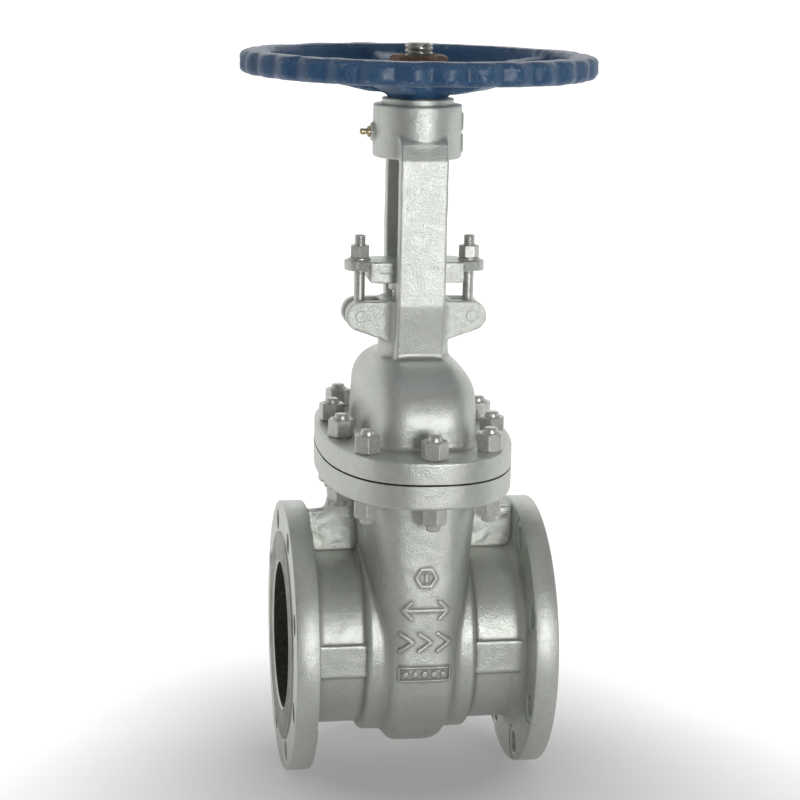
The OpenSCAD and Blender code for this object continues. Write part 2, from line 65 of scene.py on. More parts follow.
def box_mm(node):
    """Lowest and highest corner of a CAD node in millimetres, with heights from the pipe axis."""
    return [np.array(corner) * 1000 - (0, 0, pipe_h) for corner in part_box(node)]


body_low, body_high = box_mm("body")
bonnet_high = box_mm("bonnet")[1]
stem_high = box_mm("stem")[1]
wheel_low, wheel_high = box_mm("handwheel")
gasket_low, gasket_high = box_mm("bonnet_gasket")
gland_low, gland_high = box_mm("gland_flange")
cap_low, cap_high = box_mm("bearing_cap")
sleeve_low, sleeve_high = box_mm("yoke_sleeve")
wheel_nut_low, wheel_nut_high = box_mm("handwheel_nut")
stud_low, stud_high = box_mm("bonnet_studs")
eyebolt_high = box_mm("eyebolt_right")[1]
pin_high = box_mm("eyebolt_pins")[1]
follower_low, follower_high = box_mm("gland_follower")

face_x = body_high[0]
flange_r = pipe_h
flange_back_x = 107.95
raised_r = 107.95
raised_h = 1.6
port_r = mounts["port_right"]["dims"]["r_mm"]
bolt_circle_r = mounts["flange_right_bolts"]["dims"]["pcd_mm"] / 2
bolt_count = mounts["flange_right_bolts"]["dims"]["count"]
bolt_hole_r = mounts["flange_right_bolts"]["dims"]["hole_r_mm"]
spotface_r = 19
barrel_r = 92
ridge_r = 100.5
ridge_x = 56
seat_r = 88
seat_pocket_x = 50
wedge_half_t = 25.3

chamber_r = 113
chamber_bottom_x = 33.5
chamber_top_x = 62
chamber_top_y = 108
wall = 12
stock = 3                                 # left on a casting for the cuts that face it
web_top_h = 134
web_step_x = 86
web_half_t = 5.5
pad_half_h = 17
pad_y = 94.5
pad_x = (57, 103)

joint_h = gasket_low[2]
upper_joint_h = gasket_high[2]
oval_x = bonnet_high[0]
oval_y = bonnet_high[1]
oval_power = 2.5
lower_flange_t = 24
upper_flange_t = 21.5
body_flange_low_h = joint_h - lower_flange_t
bonnet_flange_top_h = upper_joint_h + upper_flange_t
stud_r = 8
stud_hole_r = 8.75
stud_inset = 18
nut_h = 18
nut_af = 24

dome_top_h = 300
dome_shoulder_x = 38
dome_shoulder_y = 62
dome_power = 3.7
dome_half_x = 56.5
neck_r = 36
neck_top_h = 356
arm_half_w = 24
arm_t = 15
hub_r = 44.5
hub_low_h = 498
hub_top_h = bonnet_high[2]
hub_floor_h = hub_low_h + 14
nipple_h = 523

ear_x = 56.5
ear_h = 339
ear_r = 15.3
ear_y = (9.5, 21.5)
pin_r = 6
bolt_x = 56
eyebolt_r = 5.5
gland_half_y = 24
gland_nut_af = 18.3
gland_nut_h = 12.7
gland_washer_h = 1.8
stem_r = 14
thread_pitch = 5
sleeve_r = 24
wheel_nut_af = 52
wheel_nut_thread_r = 19
keyway_x = (17.5, 24.5)
keyway_half_y = 3.5

rim_r = 163
rim_low_h, rim_high_h = 579, wheel_high[2]
wheel_r = wheel_high[0]
wheel_seat_h = wheel_low[2]
wheel_hub_top_h = wheel_nut_low[2]
lobes = 32
spokes = 5
first_spoke = math.radians(23)

fine = 1.0      # voxels are this many times their full-quality size


def to_frame(points):
    """Millimetres from the pipe axis, as metres in the row frame."""
    return (np.asarray(points, float).reshape(-1, 3) + (0, 0, pipe_h)) / 1000


# ---- distance fields

def round_join(a, b, r):
    """The union of two fields with a fillet of radius r where they meet."""
    return np.maximum(r, np.minimum(a, b)) - np.hypot(np.maximum(r - a, 0), np.maximum(r - b, 0))


def round_meet(a, b, r):
    """The overlap of two fields, its edge rounded to radius r."""
    return -round_join(-a, -b, r)


def meet(*fields):
    """The overlap of fields, with sharp edges."""
    return functools.reduce(np.maximum, fields)


def superellipse(x, y, a, b, power):
    """Distance, nearly, from a rounded oval with half axes a and b."""
    u = np.maximum(x / a, 1e-6)
    v = np.maximum(y / b, 1e-6)
    g = (u ** power + v ** power) ** (1 / power)
    slope = np.hypot((u / g) ** (power - 1) / a, (v / g) ** (power - 1) / b)
    return (g - 1) / slope


def spline_weights(positions, size):
    """How much each point of a regular lattice counts at each position, as cubic B-spline weights."""
    t = np.ravel(positions) / size
    t = t - math.floor(t.min())
    cell = np.floor(t).astype(int)
    f = t - cell
    shares = ((1 - f) ** 3, 3 * f ** 3 - 6 * f ** 2 + 4, -3 * f ** 3 + 3 * f ** 2 + 3 * f + 1, f ** 3)
    weights = np.zeros((t.size, cell.max() + 4), np.float32)
    for k, share in enumerate(shares):
        weights[np.arange(t.size), cell + k] = share / 6
    return weights


def lumps(x, y, z, size, seed):
    """Smooth random unevenness of about unit height, its lumps about twice size across."""
    wx, wy, wz = (spline_weights(axis, size) for axis in (x, y, z))
    lattice = np.random.default_rng(seed).normal(size=(wx.shape[1], wy.shape[1], wz.shape[1]))
    field = np.tensordot(wx, lattice.astype(np.float32), (1, 0))
    field = np.tensordot(field, wy, (1, 1))
    return np.tensordot(field, wz, (1, 1)) * 2.2


def inside(position, low, high, soft):
    """1 between low and high and 0 outside, with soft edges."""
    return np.clip((position - low) / soft, 0, 1) * np.clip((high - position) / soft, 0, 1)


def samples(low, high, step):
    """Grid positions that reach three steps past low and high, with one at zero."""
    return np.arange(math.floor(low / step) - 3, math.ceil(high / step) + 4) * step


def surface(values, xs, ys, zs, step):
    """Vertices and faces of the zero surface of values, with the faces turned outwards."""
    band = 4 * step
    values = np.clip(values, -band, band).astype(np.float32)
    grid = openvdb.FloatGrid(background=float(band))
    grid.copyFromArray(np.ascontiguousarray(values))
    verts, tris, quads = grid.convertToPolygons(isovalue=0.0, adaptivity=0.0)
    verts = np.asarray(verts, float) * step + (xs[0], ys[0], zs[0])
    faces = [list(f) for f in np.asarray(tris)] + np.asarray(quads).tolist()
    a, b, c, d = (verts[np.asarray(quads)[:, i]] for i in range(4))
    volume = np.einsum("ij,ij->i", a, np.cross(b, c) + np.cross(c, d)).sum()
    if volume < 0:
        faces = [f[::-1] for f in faces]
    return verts, faces


def quarter_casting(field, low, high, step, extra=None):
    """A casting that is the same in all four quarters round the stem, but for what extra changes.

    field takes |x|, |y| and z; extra takes the whole field with x, y and z, and returns it changed.
    """
    xs = samples(-high[0], high[0], step)
    ys = samples(-high[1], high[1], step)
    zs = samples(low, high[2], step)
    half_x = xs[xs > -step / 2][:, None, None]
    half_y = ys[ys > -step / 2][None, :, None]
    z = zs[None, None, :]
    quarter = np.broadcast_to(field(half_x, half_y, z), (half_x.size, half_y.size, z.size))
    half = np.concatenate([quarter[:0:-1], quarter], 0)
    whole = np.concatenate([half[:, :0:-1], half], 1)
    if extra is not None:
        whole = extra(whole, xs[:, None, None], ys[None, :, None], z)
    return surface(whole, xs, ys, zs, step)


def local_casting(field, low, high, step):
    """A casting whose field is sampled over the whole of a box."""
    xs, ys, zs = (samples(low[i], high[i], step) for i in range(3))
    values = field(xs[:, None, None], ys[None, :, None], zs[None, None, :])
    return surface(np.broadcast_to(values, (xs.size, ys.size, zs.size)), xs, ys, zs, step)


# ---- ring stacks: turned pieces and nuts

def ring_stack(rows, segments=64, closed=True):
    """Vertices and faces of a stack of rings round Z: each row is (radius, height), fixed or by angle.

    A closed stack joins its last ring to its first one, so it has a bore; an open one gets flat ends.
    """
    angle = (np.arange(segments) + 0.5) * 2 * math.pi / segments
    rings = [np.stack([radius * np.cos(angle), radius * np.sin(angle), np.zeros(segments) + height], 1)
             for radius, height in rows]
    index = np.arange(segments)
    following = (index + 1) % segments
    faces = []
    for row in range(len(rows) if closed else len(rows) - 1):
        a, b = row * segments, (row + 1) % len(rows) * segments
        faces += np.stack([a + index, a + following, b + following, b + index], 1).tolist()
    if not closed:
        faces += [index[::-1].tolist(), ((len(rows) - 1) * segments + index).tolist()]
    return np.concatenate(rings), faces


def eased(outline, radius, closed=True):
    """A profile of (radius, height) corners with each corner rounded off."""
    points = [np.array(p, float) for p in outline]
    count = len(points)
    result = []
    for i, corner in enumerate(points):
        if not closed and i in (0, count - 1):
            result.append(tuple(corner))
            continue
        back, ahead = points[i - 1] - corner, points[(i + 1) % count] - corner
        reach = min(radius, np.linalg.norm(back) * 0.45, np.linalg.norm(ahead) * 0.45)
        start = corner + back / np.linalg.norm(back) * reach
        end = corner + ahead / np.linalg.norm(ahead) * reach
        for t in (0, 0.35, 0.65, 1):
            result.append(tuple((1 - t) ** 2 * start + 2 * t * (1 - t) * corner + t ** 2 * end))
    return result


def tube(r_out, r_in, low_h, high_h, ease=0.5, segments=64):
    """A ring on the Z axis with softened edges."""
    return ring_stack(eased([(r_in, low_h), (r_out, low_h), (r_out, high_h), (r_in, high_h)], ease), segments)


def hex_radius(across_flats, segments, soft=36):
    """How far the side of a hexagon with softened corners is from its centre, ring sample by sample."""
    angle = (np.arange(segments) + 0.5) * 2 * math.pi / segments
    reach = sum(np.maximum(np.cos(angle - k * math.pi / 3), 0) ** soft for k in range(6))
    return across_flats / 2 * reach ** (-1 / soft)


def hex_nut(across_flats, height, bore_r, segments=96, chamfer_low=True):
    """A nut on the Z axis from height 0: hexagon, chamfered corners, countersunk bore."""
    side = hex_radius(across_flats, segments)
    chamfer_r = across_flats / 2 * 0.97
    drop = np.maximum(side - chamfer_r, 0) * math.tan(math.radians(30))
    edge = 0.35
    sink = 0.9
    high = [(side, height - drop - edge), (side - edge * 0.4, height - drop - edge * 0.25),
            (np.minimum(side, chamfer_r) - edge * 0.2, height - edge * 0.1),
            (np.minimum(side, chamfer_r) - edge * 1.6, height),
            (bore_r + sink, height), (bore_r, height - sink)]
    drop = drop if chamfer_low else drop * 0.15
    low = [(bore_r, sink), (bore_r + sink, 0), (np.minimum(side, chamfer_r) - edge * 1.6, 0),
           (np.minimum(side, chamfer_r) - edge * 0.2, edge * 0.1),
           (side - edge * 0.4, drop + edge * 0.25), (side, drop + edge)]
    return ring_stack(low + high, segments)


def thread(r, pitch, low_h, high_h, depth, hand=1, segments=40, per_turn=8, taper_high=True):
    """Rows of a threaded length: the groove winds round and fades out near both ends."""
    turn = (np.arange(segments) + 0.5) / segments
    rows = []
    count = max(int(round((high_h - low_h) / pitch * per_turn)), 4)
    for step in range(count + 1):
        height = low_h + (high_h - low_h) * step / count
        phase = (height / pitch - hand * turn) % 1
        groove = np.clip(1.35 * (1 - np.abs(2 * phase - 1) * 1.9), 0, 1)
        ends = [np.clip((height - low_h) / pitch, 0, 1)]
        if taper_high:
            ends.append(np.clip((high_h - height) / pitch, 0, 1))
        rows.append((r - depth * groove * min(ends), height))
    return rows


def merge(*parts):
    """Several (vertices, faces) pairs as one."""
    verts, faces, base = [], [], 0
    for part_verts, part_faces in parts:
        verts.append(part_verts)
        faces += [[base + i for i in face] for face in part_faces]
        base += len(part_verts)
    return np.concatenate(verts), faces


LAID = {"X": (90, "Y"), "-X": (-90, "Y"), "Y": (-90, "X")}


def placed(part, at=(0, 0, 0), turn=0, axis="Z"):
    """A part turned by an angle in degrees about Z, laid along an axis, and moved."""
    verts, faces = part
    matrix = Matrix.Rotation(math.radians(turn), 3, "Z")
    if axis != "Z":
        lean, about = LAID[axis]
        matrix = Matrix.Rotation(math.radians(lean), 3, about) @ matrix
    return verts @ np.array(matrix).T + at, faces


def both_sides(part, x, height=0, axis="Z"):
    """A part at x on the left and on the right of the stem."""
    return merge(*[placed(part, (s * x, 0, height), 0, axis) for s in (-1, 1)])


def box_part(low, high):
    """A plain block, used as a cutting tool."""
    corners = np.array([[x, y, z] for x in (low[0], high[0]) for y in (low[1], high[1])
                        for z in (low[2], high[2])], float)
    faces = [[0, 1, 3, 2], [4, 6, 7, 5], [0, 4, 5, 1], [2, 3, 7, 6], [0, 2, 6, 4], [1, 5, 7, 3]]
    return corners, faces


# ---- objects

def solid(name, part):
    """An object from (vertices, faces) in millimetres."""
    verts, faces = part
    mesh = bpy.data.meshes.new(name)
    mesh.from_pydata(to_frame(verts).tolist(), [], faces)
    mesh.validate()
    obj = bpy.data.objects.new(name, mesh)
    scene.collection.objects.link(obj)
    return obj


def carve(obj, part, operation="DIFFERENCE"):
    """Cuts a part out of an object, or joins it on."""
    tool = solid(obj.name + "_tool", part)
    modifier = obj.modifiers.new("carve", "BOOLEAN")
    modifier.operation = operation
    modifier.solver = "MANIFOLD"
    modifier.object = tool
    carved = bpy.data.meshes.new_from_object(obj.evaluated_get(bpy.context.evaluated_depsgraph_get()))
    if len(carved.polygons) == 0 or len(carved.polygons) == len(obj.data.polygons):
        raise RuntimeError(f"{operation} on {obj.name} changed nothing")
    obj.modifiers.clear()
    obj.data = carved
    bpy.data.objects.remove(tool)
    return obj


def finish_piece(obj, body, slot, node, finish=None, sharp=32):
    """Shades a piece, gives it a finish unless its faces have theirs, hangs it on its body and hides the CAD
    node it replaces.
    """
    mesh = obj.data
    mesh.polygons.foreach_set("use_smooth", [True] * len(mesh.polygons))
    mesh.set_sharp_from_angle(angle=math.radians(sharp))
    if not any(mesh.materials):
        mesh.materials.clear()
        mesh.materials.append(MATERIALS[finish or slot])
    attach(obj, body)
    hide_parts(node)


# ---- materials

class Finish:
    """One material's node tree, with short calls for the nodes that the finishes share."""

    def __init__(self, name, **uniform):
        self.material = bpy.data.materials.new(name)
        self.material.use_nodes = True
        self.tree = self.material.node_tree
        self.shader = self.tree.nodes["Principled BSDF"]
        for socket, value in uniform.items():
            self.shader.inputs[socket.replace("_", " ")].default_value = value
        self.place = self.node("ShaderNodeTexCoord").outputs["Object"]

    def node(self, kind, **settings):
        node = self.tree.nodes.new(kind)
        for key, value in settings.items():
            setattr(node, key, value)
        return node

    def link(self, source, target):
        if hasattr(source, "is_output"):
            self.tree.links.new(source, target)
        else:
            target.default_value = source

    def noise(self, size_mm, detail=4.0, roughness=0.55, stretch=(1, 1, 1)):
        """Soft noise whose features are about size_mm across."""
        place = self.node("ShaderNodeMapping")
        self.link(self.place, place.inputs["Vector"])
        place.inputs["Scale"].default_value = [s * 1000 / size_mm for s in stretch]
        noise = self.node("ShaderNodeTexNoise")
        noise.inputs["Scale"].default_value = 1
        noise.inputs["Detail"].default_value = detail
        noise.inputs["Roughness"].default_value = roughness
        self.link(place.outputs[0], noise.inputs["Vector"])
        return noise.outputs["Fac"]

    def cells(self, size_mm):
        """Distance to the nearest of scattered points, for pits and pimples."""
        cells = self.node("ShaderNodeTexVoronoi")
        cells.inputs["Scale"].default_value = 1000 / size_mm
        self.link(self.place, cells.inputs["Vector"])
        return cells.outputs["Distance"]

    def attribute(self, name):
        return self.node("ShaderNodeAttribute", attribute_name=name).outputs["Fac"]

    def ramp(self, factor, low, high, start=0.0, end=1.0):
        """Rescales a factor, with its ends held."""
        ramp = self.node("ShaderNodeMapRange")
        for socket, value in zip(("Value", "From Min", "From Max", "To Min", "To Max"),
                                 (factor, low, high, start, end)):
            self.link(value, ramp.inputs[socket])
        return ramp.outputs[0]

    def math(self, operation, a, b):
        node = self.node("ShaderNodeMath", operation=operation)
        self.link(a, node.inputs[0])
        self.link(b, node.inputs[1])
        return node.outputs[0]

    def blend(self, factor, a, b):
        """Colour a where factor is 0 and b where it is 1."""
        node = self.node("ShaderNodeMix", data_type="RGBA")
        self.link(factor, node.inputs["Factor"])
        for socket, value in (("A", a), ("B", b)):
            target = next(s for s in node.inputs if s.name == socket and s.type == "RGBA")
            self.link(value if hasattr(value, "is_output") else (*value, 1), target)
        return next(s for s in node.outputs if s.type == "RGBA")

    def bump(self, height, distance_mm, strength=1.0, under=None):
        node = self.node("ShaderNodeBump")
        node.inputs["Strength"].default_value = strength
        node.inputs["Distance"].default_value = distance_mm / 1000
        self.link(height, node.inputs["Height"])
        if under is not None:
            self.link(under, node.inputs["Normal"])
        return node.outputs[0]

    def finish(self, color=None, roughness=None, normal=None, metallic=None):
        for socket, value in (("Base Color", color), ("Roughness", roughness), ("Normal", normal),
                              ("Metallic", metallic)):
            if value is not None:
                self.link(value, self.shader.inputs[socket])
        return self.material


def aluminium_paint(name, grain=1.0, tone=1.0):
    """Satin aluminium paint over a sand casting: fine orange peel, soft lumps, and painted shade darkening
    the hollows.
    """
    f = Finish(name, Metallic=0.8, IOR=1.5)
    patch = f.noise(60, 3)
    fine_tone = f.noise(6, 5, 0.6)
    light = [0.655 * tone, 0.68 * tone, 0.635 * tone]
    dull = [0.52 * tone, 0.535 * tone, 0.485 * tone]
    color = f.blend(f.ramp(patch, 0.35, 0.65), light, [c * 0.93 for c in light])
    color = f.blend(f.ramp(fine_tone, 0.45, 0.75, 0, 0.5), color, dull)
    # painted shade: the paint is darkened where the surface is hollow
    color = f.blend(f.attribute("hollow"), color, [0.33 * tone, 0.325 * tone, 0.30 * tone])
    rough = f.ramp(f.noise(9, 4), 0.3, 0.7, 0.37, 0.45)
    swell = f.bump(f.noise(9, 2, 0.4), 0.6 * grain, 0.5)
    peel = f.bump(f.noise(1.6, 3, 0.6), 0.55 * grain, 0.8, swell)
    pits = f.bump(f.ramp(f.cells(4.5), 0.0, 0.22), 0.3 * grain, 0.5, peel)
    return f.finish(color, rough, pits)


def bolting_paint():
    """The same paint, thinner and duller, over forged nuts and studs."""
    f = Finish("painted_bolting", Metallic=0.75)
    color = f.blend(f.ramp(f.noise(5, 4), 0.35, 0.7), [0.68, 0.685, 0.655], [0.54, 0.545, 0.51])
    rough = f.ramp(f.noise(3, 4), 0.3, 0.7, 0.35, 0.45)
    normal = f.bump(f.noise(0.9, 3, 0.6), 0.08, 0.5)
    return f.finish(color, rough, normal)


def turned_steel(name, color=(0.56, 0.56, 0.55), rough=(0.22, 0.34), spin="Z"):
    """Machined metal: fine tool marks round its axis, and a little staining."""
    f = Finish(name, Metallic=1.0)
    stretch = (0.02, 0.02, 1) if spin == "Z" else (1, 0.02, 0.02)
    marks = f.noise(0.7, 2, 0.7, stretch)
    stain = f.noise(12, 5, 0.6)
    tint = f.blend(f.ramp(stain, 0.45, 0.75), color, [c * 0.72 for c in color])
    roughness = f.math("ADD", f.ramp(marks, 0.3, 0.7, rough[0], rough[1]),
                       f.ramp(stain, 0.4, 0.8, 0, 0.12))
    return f.finish(tint, roughness, f.bump(marks, 0.05, 0.5))


def raised_face_steel():
    """The flange's machined gasket face under a thin wash of paint."""
    f = Finish("flange_face_steel", Metallic=0.85)
    stain = f.noise(14, 5, 0.65)
    color = f.blend(f.ramp(stain, 0.4, 0.7), [0.25, 0.24, 0.205], [0.15, 0.14, 0.115])
    rough = f.ramp(stain, 0.3, 0.7, 0.28, 0.42)
    return f.finish(color, rough, f.bump(f.noise(1.1, 3), 0.05, 0.5))


def bare_bore():
    """The rough, dark, lightly oiled inside of the castings."""
    f = Finish("bare_bore", Metallic=0.55)
    color = f.blend(f.ramp(f.noise(5, 6, 0.7), 0.35, 0.7), [0.055, 0.06, 0.055], [0.14, 0.13, 0.11])
    rough = f.ramp(f.noise(3, 5), 0.3, 0.7, 0.42, 0.75)
    swell = f.bump(f.noise(4, 5, 0.65), 0.9, 0.8)
    return f.finish(color, rough, f.bump(f.noise(1.2, 4, 0.7), 0.4, 0.7, swell))


def blue_enamel():
    """Brushed-on gloss enamel over a rough iron casting, worn pale on the edges hands reach."""
    f = Finish("blue_enamel", Metallic=0.0, IOR=1.5, Coat_Weight=0.12, Coat_Roughness=0.25)
    tone = f.noise(26, 5, 0.6)
    streak = f.noise(5, 5, 0.65)
    color = f.blend(f.ramp(tone, 0.35, 0.65), [0.022, 0.082, 0.195], [0.036, 0.108, 0.225])
    color = f.blend(f.ramp(streak, 0.5, 0.75, 0, 0.5), color, [0.07, 0.14, 0.23])
    chips = f.math("MULTIPLY", f.ramp(f.attribute("edge"), 0.25, 0.8),
                   f.ramp(f.noise(3.5, 6, 0.7), 0.5, 0.62))
    color = f.blend(chips, color, [0.30, 0.36, 0.42])
    # painted shade: the enamel is darkened where the surface is hollow
    color = f.blend(f.attribute("hollow"), color, [0.018, 0.05, 0.12])
    rough = f.ramp(streak, 0.3, 0.75, 0.32, 0.52)
    swell = f.bump(f.noise(6, 4, 0.55), 1.4, 0.7)
    return f.finish(color, rough, f.bump(f.noise(1.8, 4, 0.6), 0.4, 0.6, swell))


def rusty_iron():
    """Bare iron with a brown bloom, brighter where a spanner has rubbed it."""
    f = Finish("rusty_iron", Metallic=0.45)
    color = f.blend(f.ramp(f.noise(3.5, 6, 0.7), 0.35, 0.65), [0.13, 0.075, 0.05], [0.26, 0.17, 0.115])
    color = f.blend(f.ramp(f.noise(8, 5), 0.58, 0.72, 0, 0.7), color, [0.36, 0.33, 0.30])
    rough = f.ramp(f.noise(2, 5), 0.3, 0.7, 0.45, 0.8)
    return f.finish(color, rough, f.bump(f.noise(1.1, 5, 0.7), 0.25, 0.7))


def pressed_graphite():
    """Flat black sheet gasket and packing."""
    f = Finish("pressed_graphite")
    color = f.blend(f.ramp(f.noise(2, 5, 0.6), 0.35, 0.7), [0.012, 0.012, 0.012], [0.035, 0.034, 0.032])
    return f.finish(color, f.ramp(f.noise(1.5, 4), 0.3, 0.7, 0.55, 0.8), f.bump(f.noise(0.8, 3), 0.1, 0.6))


MATERIALS = {
    "cast_paint": aluminium_paint("cast_aluminium_paint"),
    "rough_paint": aluminium_paint("rough_aluminium_paint", grain=2.0, tone=1.3),
    "bolting": bolting_paint(),
    "machined_steel": turned_steel("turned_steel"),
    "facing_steel": turned_steel("facing_steel", spin="X"),
    "dark_steel": turned_steel("dark_steel", (0.20, 0.195, 0.185), (0.35, 0.5)),
    "stem_steel": turned_steel("stem_steel", (0.47, 0.47, 0.43), (0.24, 0.36)),
    "raised_face": raised_face_steel(),
    "bore": bare_bore(),
    "bronze": turned_steel("bronze", (0.55, 0.38, 0.20), (0.28, 0.42)),
    "brass": turned_steel("brass", (0.70, 0.58, 0.38), (0.30, 0.42)),
    "wheel_paint": blue_enamel(),
    "wheel_nut": rusty_iron(),
    "graphite": pressed_graphite(),
}


# ---- valve body

def chamber_half_width(z):
    """Half width of the gate chamber at a height: it widens upwards like a wedge."""
    t = (z + chamber_r) / (body_flange_low_h + chamber_r)
    return chamber_bottom_x + (chamber_top_x - chamber_bottom_x) * t


def chamber_field(x, y, z):
    """Outside of the gate chamber: an oval plan, turned round the pipe axis below it."""
    reach = np.where(z > 0, y, np.hypot(y, np.minimum(z, 0)))
    depth = chamber_r - (chamber_r - chamber_top_y) * np.maximum(z, 0) / body_flange_low_h
    power = 3.5 + 2.0 * np.clip((30 - z) / 90, 0, 1)
    return superellipse(x, reach, chamber_half_width(z), depth, power)


def body_field(x, y, z):
    """The body casting before it is machined, hollow where the wedge travels."""
    ridge_fillet, disc_fillet, pad_fillet, web_fillet, chamber_fillet, oval_fillet = 4, 12, 1.5, 2.5, 4.5, 7
    ring = np.hypot(y, z)
    ridge = round_meet(ring - ridge_r, x - ridge_x, 6)
    run = round_join(ring - barrel_r, ridge, ridge_fillet)
    disc = round_meet(ring - flange_r - 2, flange_back_x - x, 1.5)
    run = round_join(run, meet(disc, x - face_x - stock), disc_fillet)
    pad = round_meet(meet(y - pad_y, x - pad_x[1], pad_x[0] - x), np.abs(z) - pad_half_h, 2)
    run = round_join(run, pad, pad_fillet)
    web = round_join(z - web_top_h, x - web_step_x, 6)
    web = round_meet(meet(web, z - joint_h + 4, -z), y - web_half_t, 1.8)
    run = round_join(run, web, web_fillet)
    chamber = chamber_field(x, y, z)
    shell = round_join(run, chamber, chamber_fillet)
    oval = superellipse(x, y, oval_x, oval_y, oval_power)
    top_flange = round_meet(oval, body_flange_low_h - z, 2)
    shell = round_join(shell, meet(top_flange, z - joint_h - stock), oval_fillet)
    cavity_half = wedge_half_t + 6 + z * math.tan(math.radians(5))
    cavity = round_meet(x - cavity_half, chamber + wall, 5)
    shell = meet(shell, z - joint_h - stock, -cavity)
    rib = meet(x - 6, 78 - y, -55 - z, z - joint_h)
    return np.minimum(shell, meet(rib, chamber + wall - 3))


def turned_x(rows, side, segments=160):
    """An open stack of (distance from the stem axis, radius) turned round the pipe axis."""
    stack = ring_stack([(radius, along) for along, radius in rows], segments, False)
    return placed(stack, axis="X" if side > 0 else "-X")


def flange_envelope():
    """What the lathe takes off an end flange, its face and its bore."""
    start_x, groove_pitch, groove_depth = 24, 2.4, 0.35
    edge_x, clear_r = face_x - raised_h, flange_r + 12
    profile = [(start_x, 0.5), (start_x, seat_r), (seat_pocket_x, seat_r), (seat_pocket_x, port_r),
               (face_x - 1.5, port_r), (face_x, port_r + 1.5)]
    for radius in np.arange(port_r + 4, raised_r - 4, groove_pitch):
        profile += [(face_x, radius), (face_x - groove_depth, radius + groove_pitch * 0.35),
                    (face_x, radius + groove_pitch * 0.7)]
    profile += [(face_x, raised_r - 0.5), (face_x - 0.5, raised_r), (edge_x, raised_r),
                (edge_x, flange_r - 1.2), (edge_x - 0.3, flange_r - 0.5), (edge_x - 1.2, flange_r),
                (flange_back_x + 2.2, flange_r), (flange_back_x + 0.7, flange_r - 0.7),
                (flange_back_x - 0.4, flange_r - 2.6), (flange_back_x - 6, flange_r - 2.6),
                (flange_back_x - 6, clear_r), (face_x + 12, clear_r), (face_x + 12, 0.5)]
    return profile


def bolt_cutters(side):
    """The bolt holes of an end flange, each with its spotface on the back."""
    edge_x = face_x - raised_h
    rows = [(flange_back_x - 9, spotface_r), (flange_back_x + 1, spotface_r),
            (flange_back_x + 1, bolt_hole_r + 0.8), (flange_back_x + 1.8, bolt_hole_r),
            (edge_x - 0.7, bolt_hole_r), (edge_x + 0.01, bolt_hole_r + 0.7), (face_x + 9, bolt_hole_r + 0.7)]
    hole = turned_x(rows, side, 48)
    angles = (np.arange(bolt_count) + 0.5) * 2 * math.pi / bolt_count
    places = [(0, bolt_circle_r * math.cos(angle), bolt_circle_r * math.sin(angle)) for angle in angles]
    return merge(*[placed(hole, place) for place in places])


def side_x(y):
    """Half width of the bonnet flange's outline at a distance y from the pipe axis plane."""
    return oval_x * (1 - (y / oval_y) ** oval_power) ** (1 / oval_power)


STUDS = ([(0, s * (oval_y - stud_inset)) for s in (-1, 1)]
         + [(s * (side_x(y) - stud_inset), t * y) for y in (37, 108) for s in (-1, 1) for t in (-1, 1)])


def stud_hole_cutters(low_h, high_h):
    hole = ring_stack([(stud_hole_r, low_h), (stud_hole_r, high_h)], 40, False)
    return merge(*[placed(hole, (x, y, 0)) for x, y in STUDS])


def segment_2d(x, z, x0, z0, x1, z1):
    """Distance in a plane from the line between two points."""
    dx, dz = x1 - x0, z1 - z0
    t = np.clip(((x - x0) * dx + (z - z0) * dz) / (dx * dx + dz * dz), 0, 1)
    return np.hypot(x - x0 - t * dx, z - z0 - t * dz)


def strokes(x, z, *runs):
    """Distance in a plane from runs of straight strokes, each a list of points."""
    ends = [pair for run in runs for pair in zip(run, run[1:])]
    return functools.reduce(np.minimum, [segment_2d(x, z, *start, *end) for start, end in ends])


def mark_drawing(x, z):
    """Generic foundry marks in four rows: a hexagon, a two-way flow arrow, three chevrons and pips."""
    hexagon_h, arrow_h, chevron_h, pip_h = 91, 57.5, 24.5, -9
    hexagon_r, head_half_h, frame_half_w, frame_half_h, pip_gap = 10, 9, 26, 7, 9.6
    runs = [[(hexagon_r * math.cos(k * math.pi / 3), hexagon_h + hexagon_r * math.sin(k * math.pi / 3))
             for k in (0, 1, 2, 3, 4, 5, 0)],
            [(0, hexagon_h - 3), (0, hexagon_h + 3)], [(-21, arrow_h), (21, arrow_h)]]
    heads = [(s * 14, s * 23, arrow_h) for s in (-1, 1)]
    heads += [(middle - 6.5, middle + 6.5, chevron_h) for middle in (-19, 0, 19)]
    runs += [[(tail, h + head_half_h), (tip, h), (tail, h - head_half_h)] for tail, tip, h in heads]
    border = [(s * frame_half_w, pip_h + t * frame_half_h)
              for s, t in ((-1, -1), (1, -1), (1, 1), (-1, 1), (-1, -1))]
    pips = [np.hypot(x - k * pip_gap, z - pip_h) - 1.2 for k in (-2, -1, 0, 1, 2)]
    return functools.reduce(np.minimum, [strokes(x, z, *runs), strokes(x, z, border) + 0.75, *pips])


def nose_marks():
    """The raised marks as thin solids that follow the front of the chamber."""
    stroke_half, proud = 1.75, 1.6

    def field(x, y, z):
        skin = chamber_field(np.abs(x), -y, z)
        return round_meet(round_meet(mark_drawing(x, z) - stroke_half, skin - proud, 0.9), -2.5 - skin, 0.3)

    return local_casting(field, (-32, -116, -20), (32, -96, 105), 0.5 * fine)


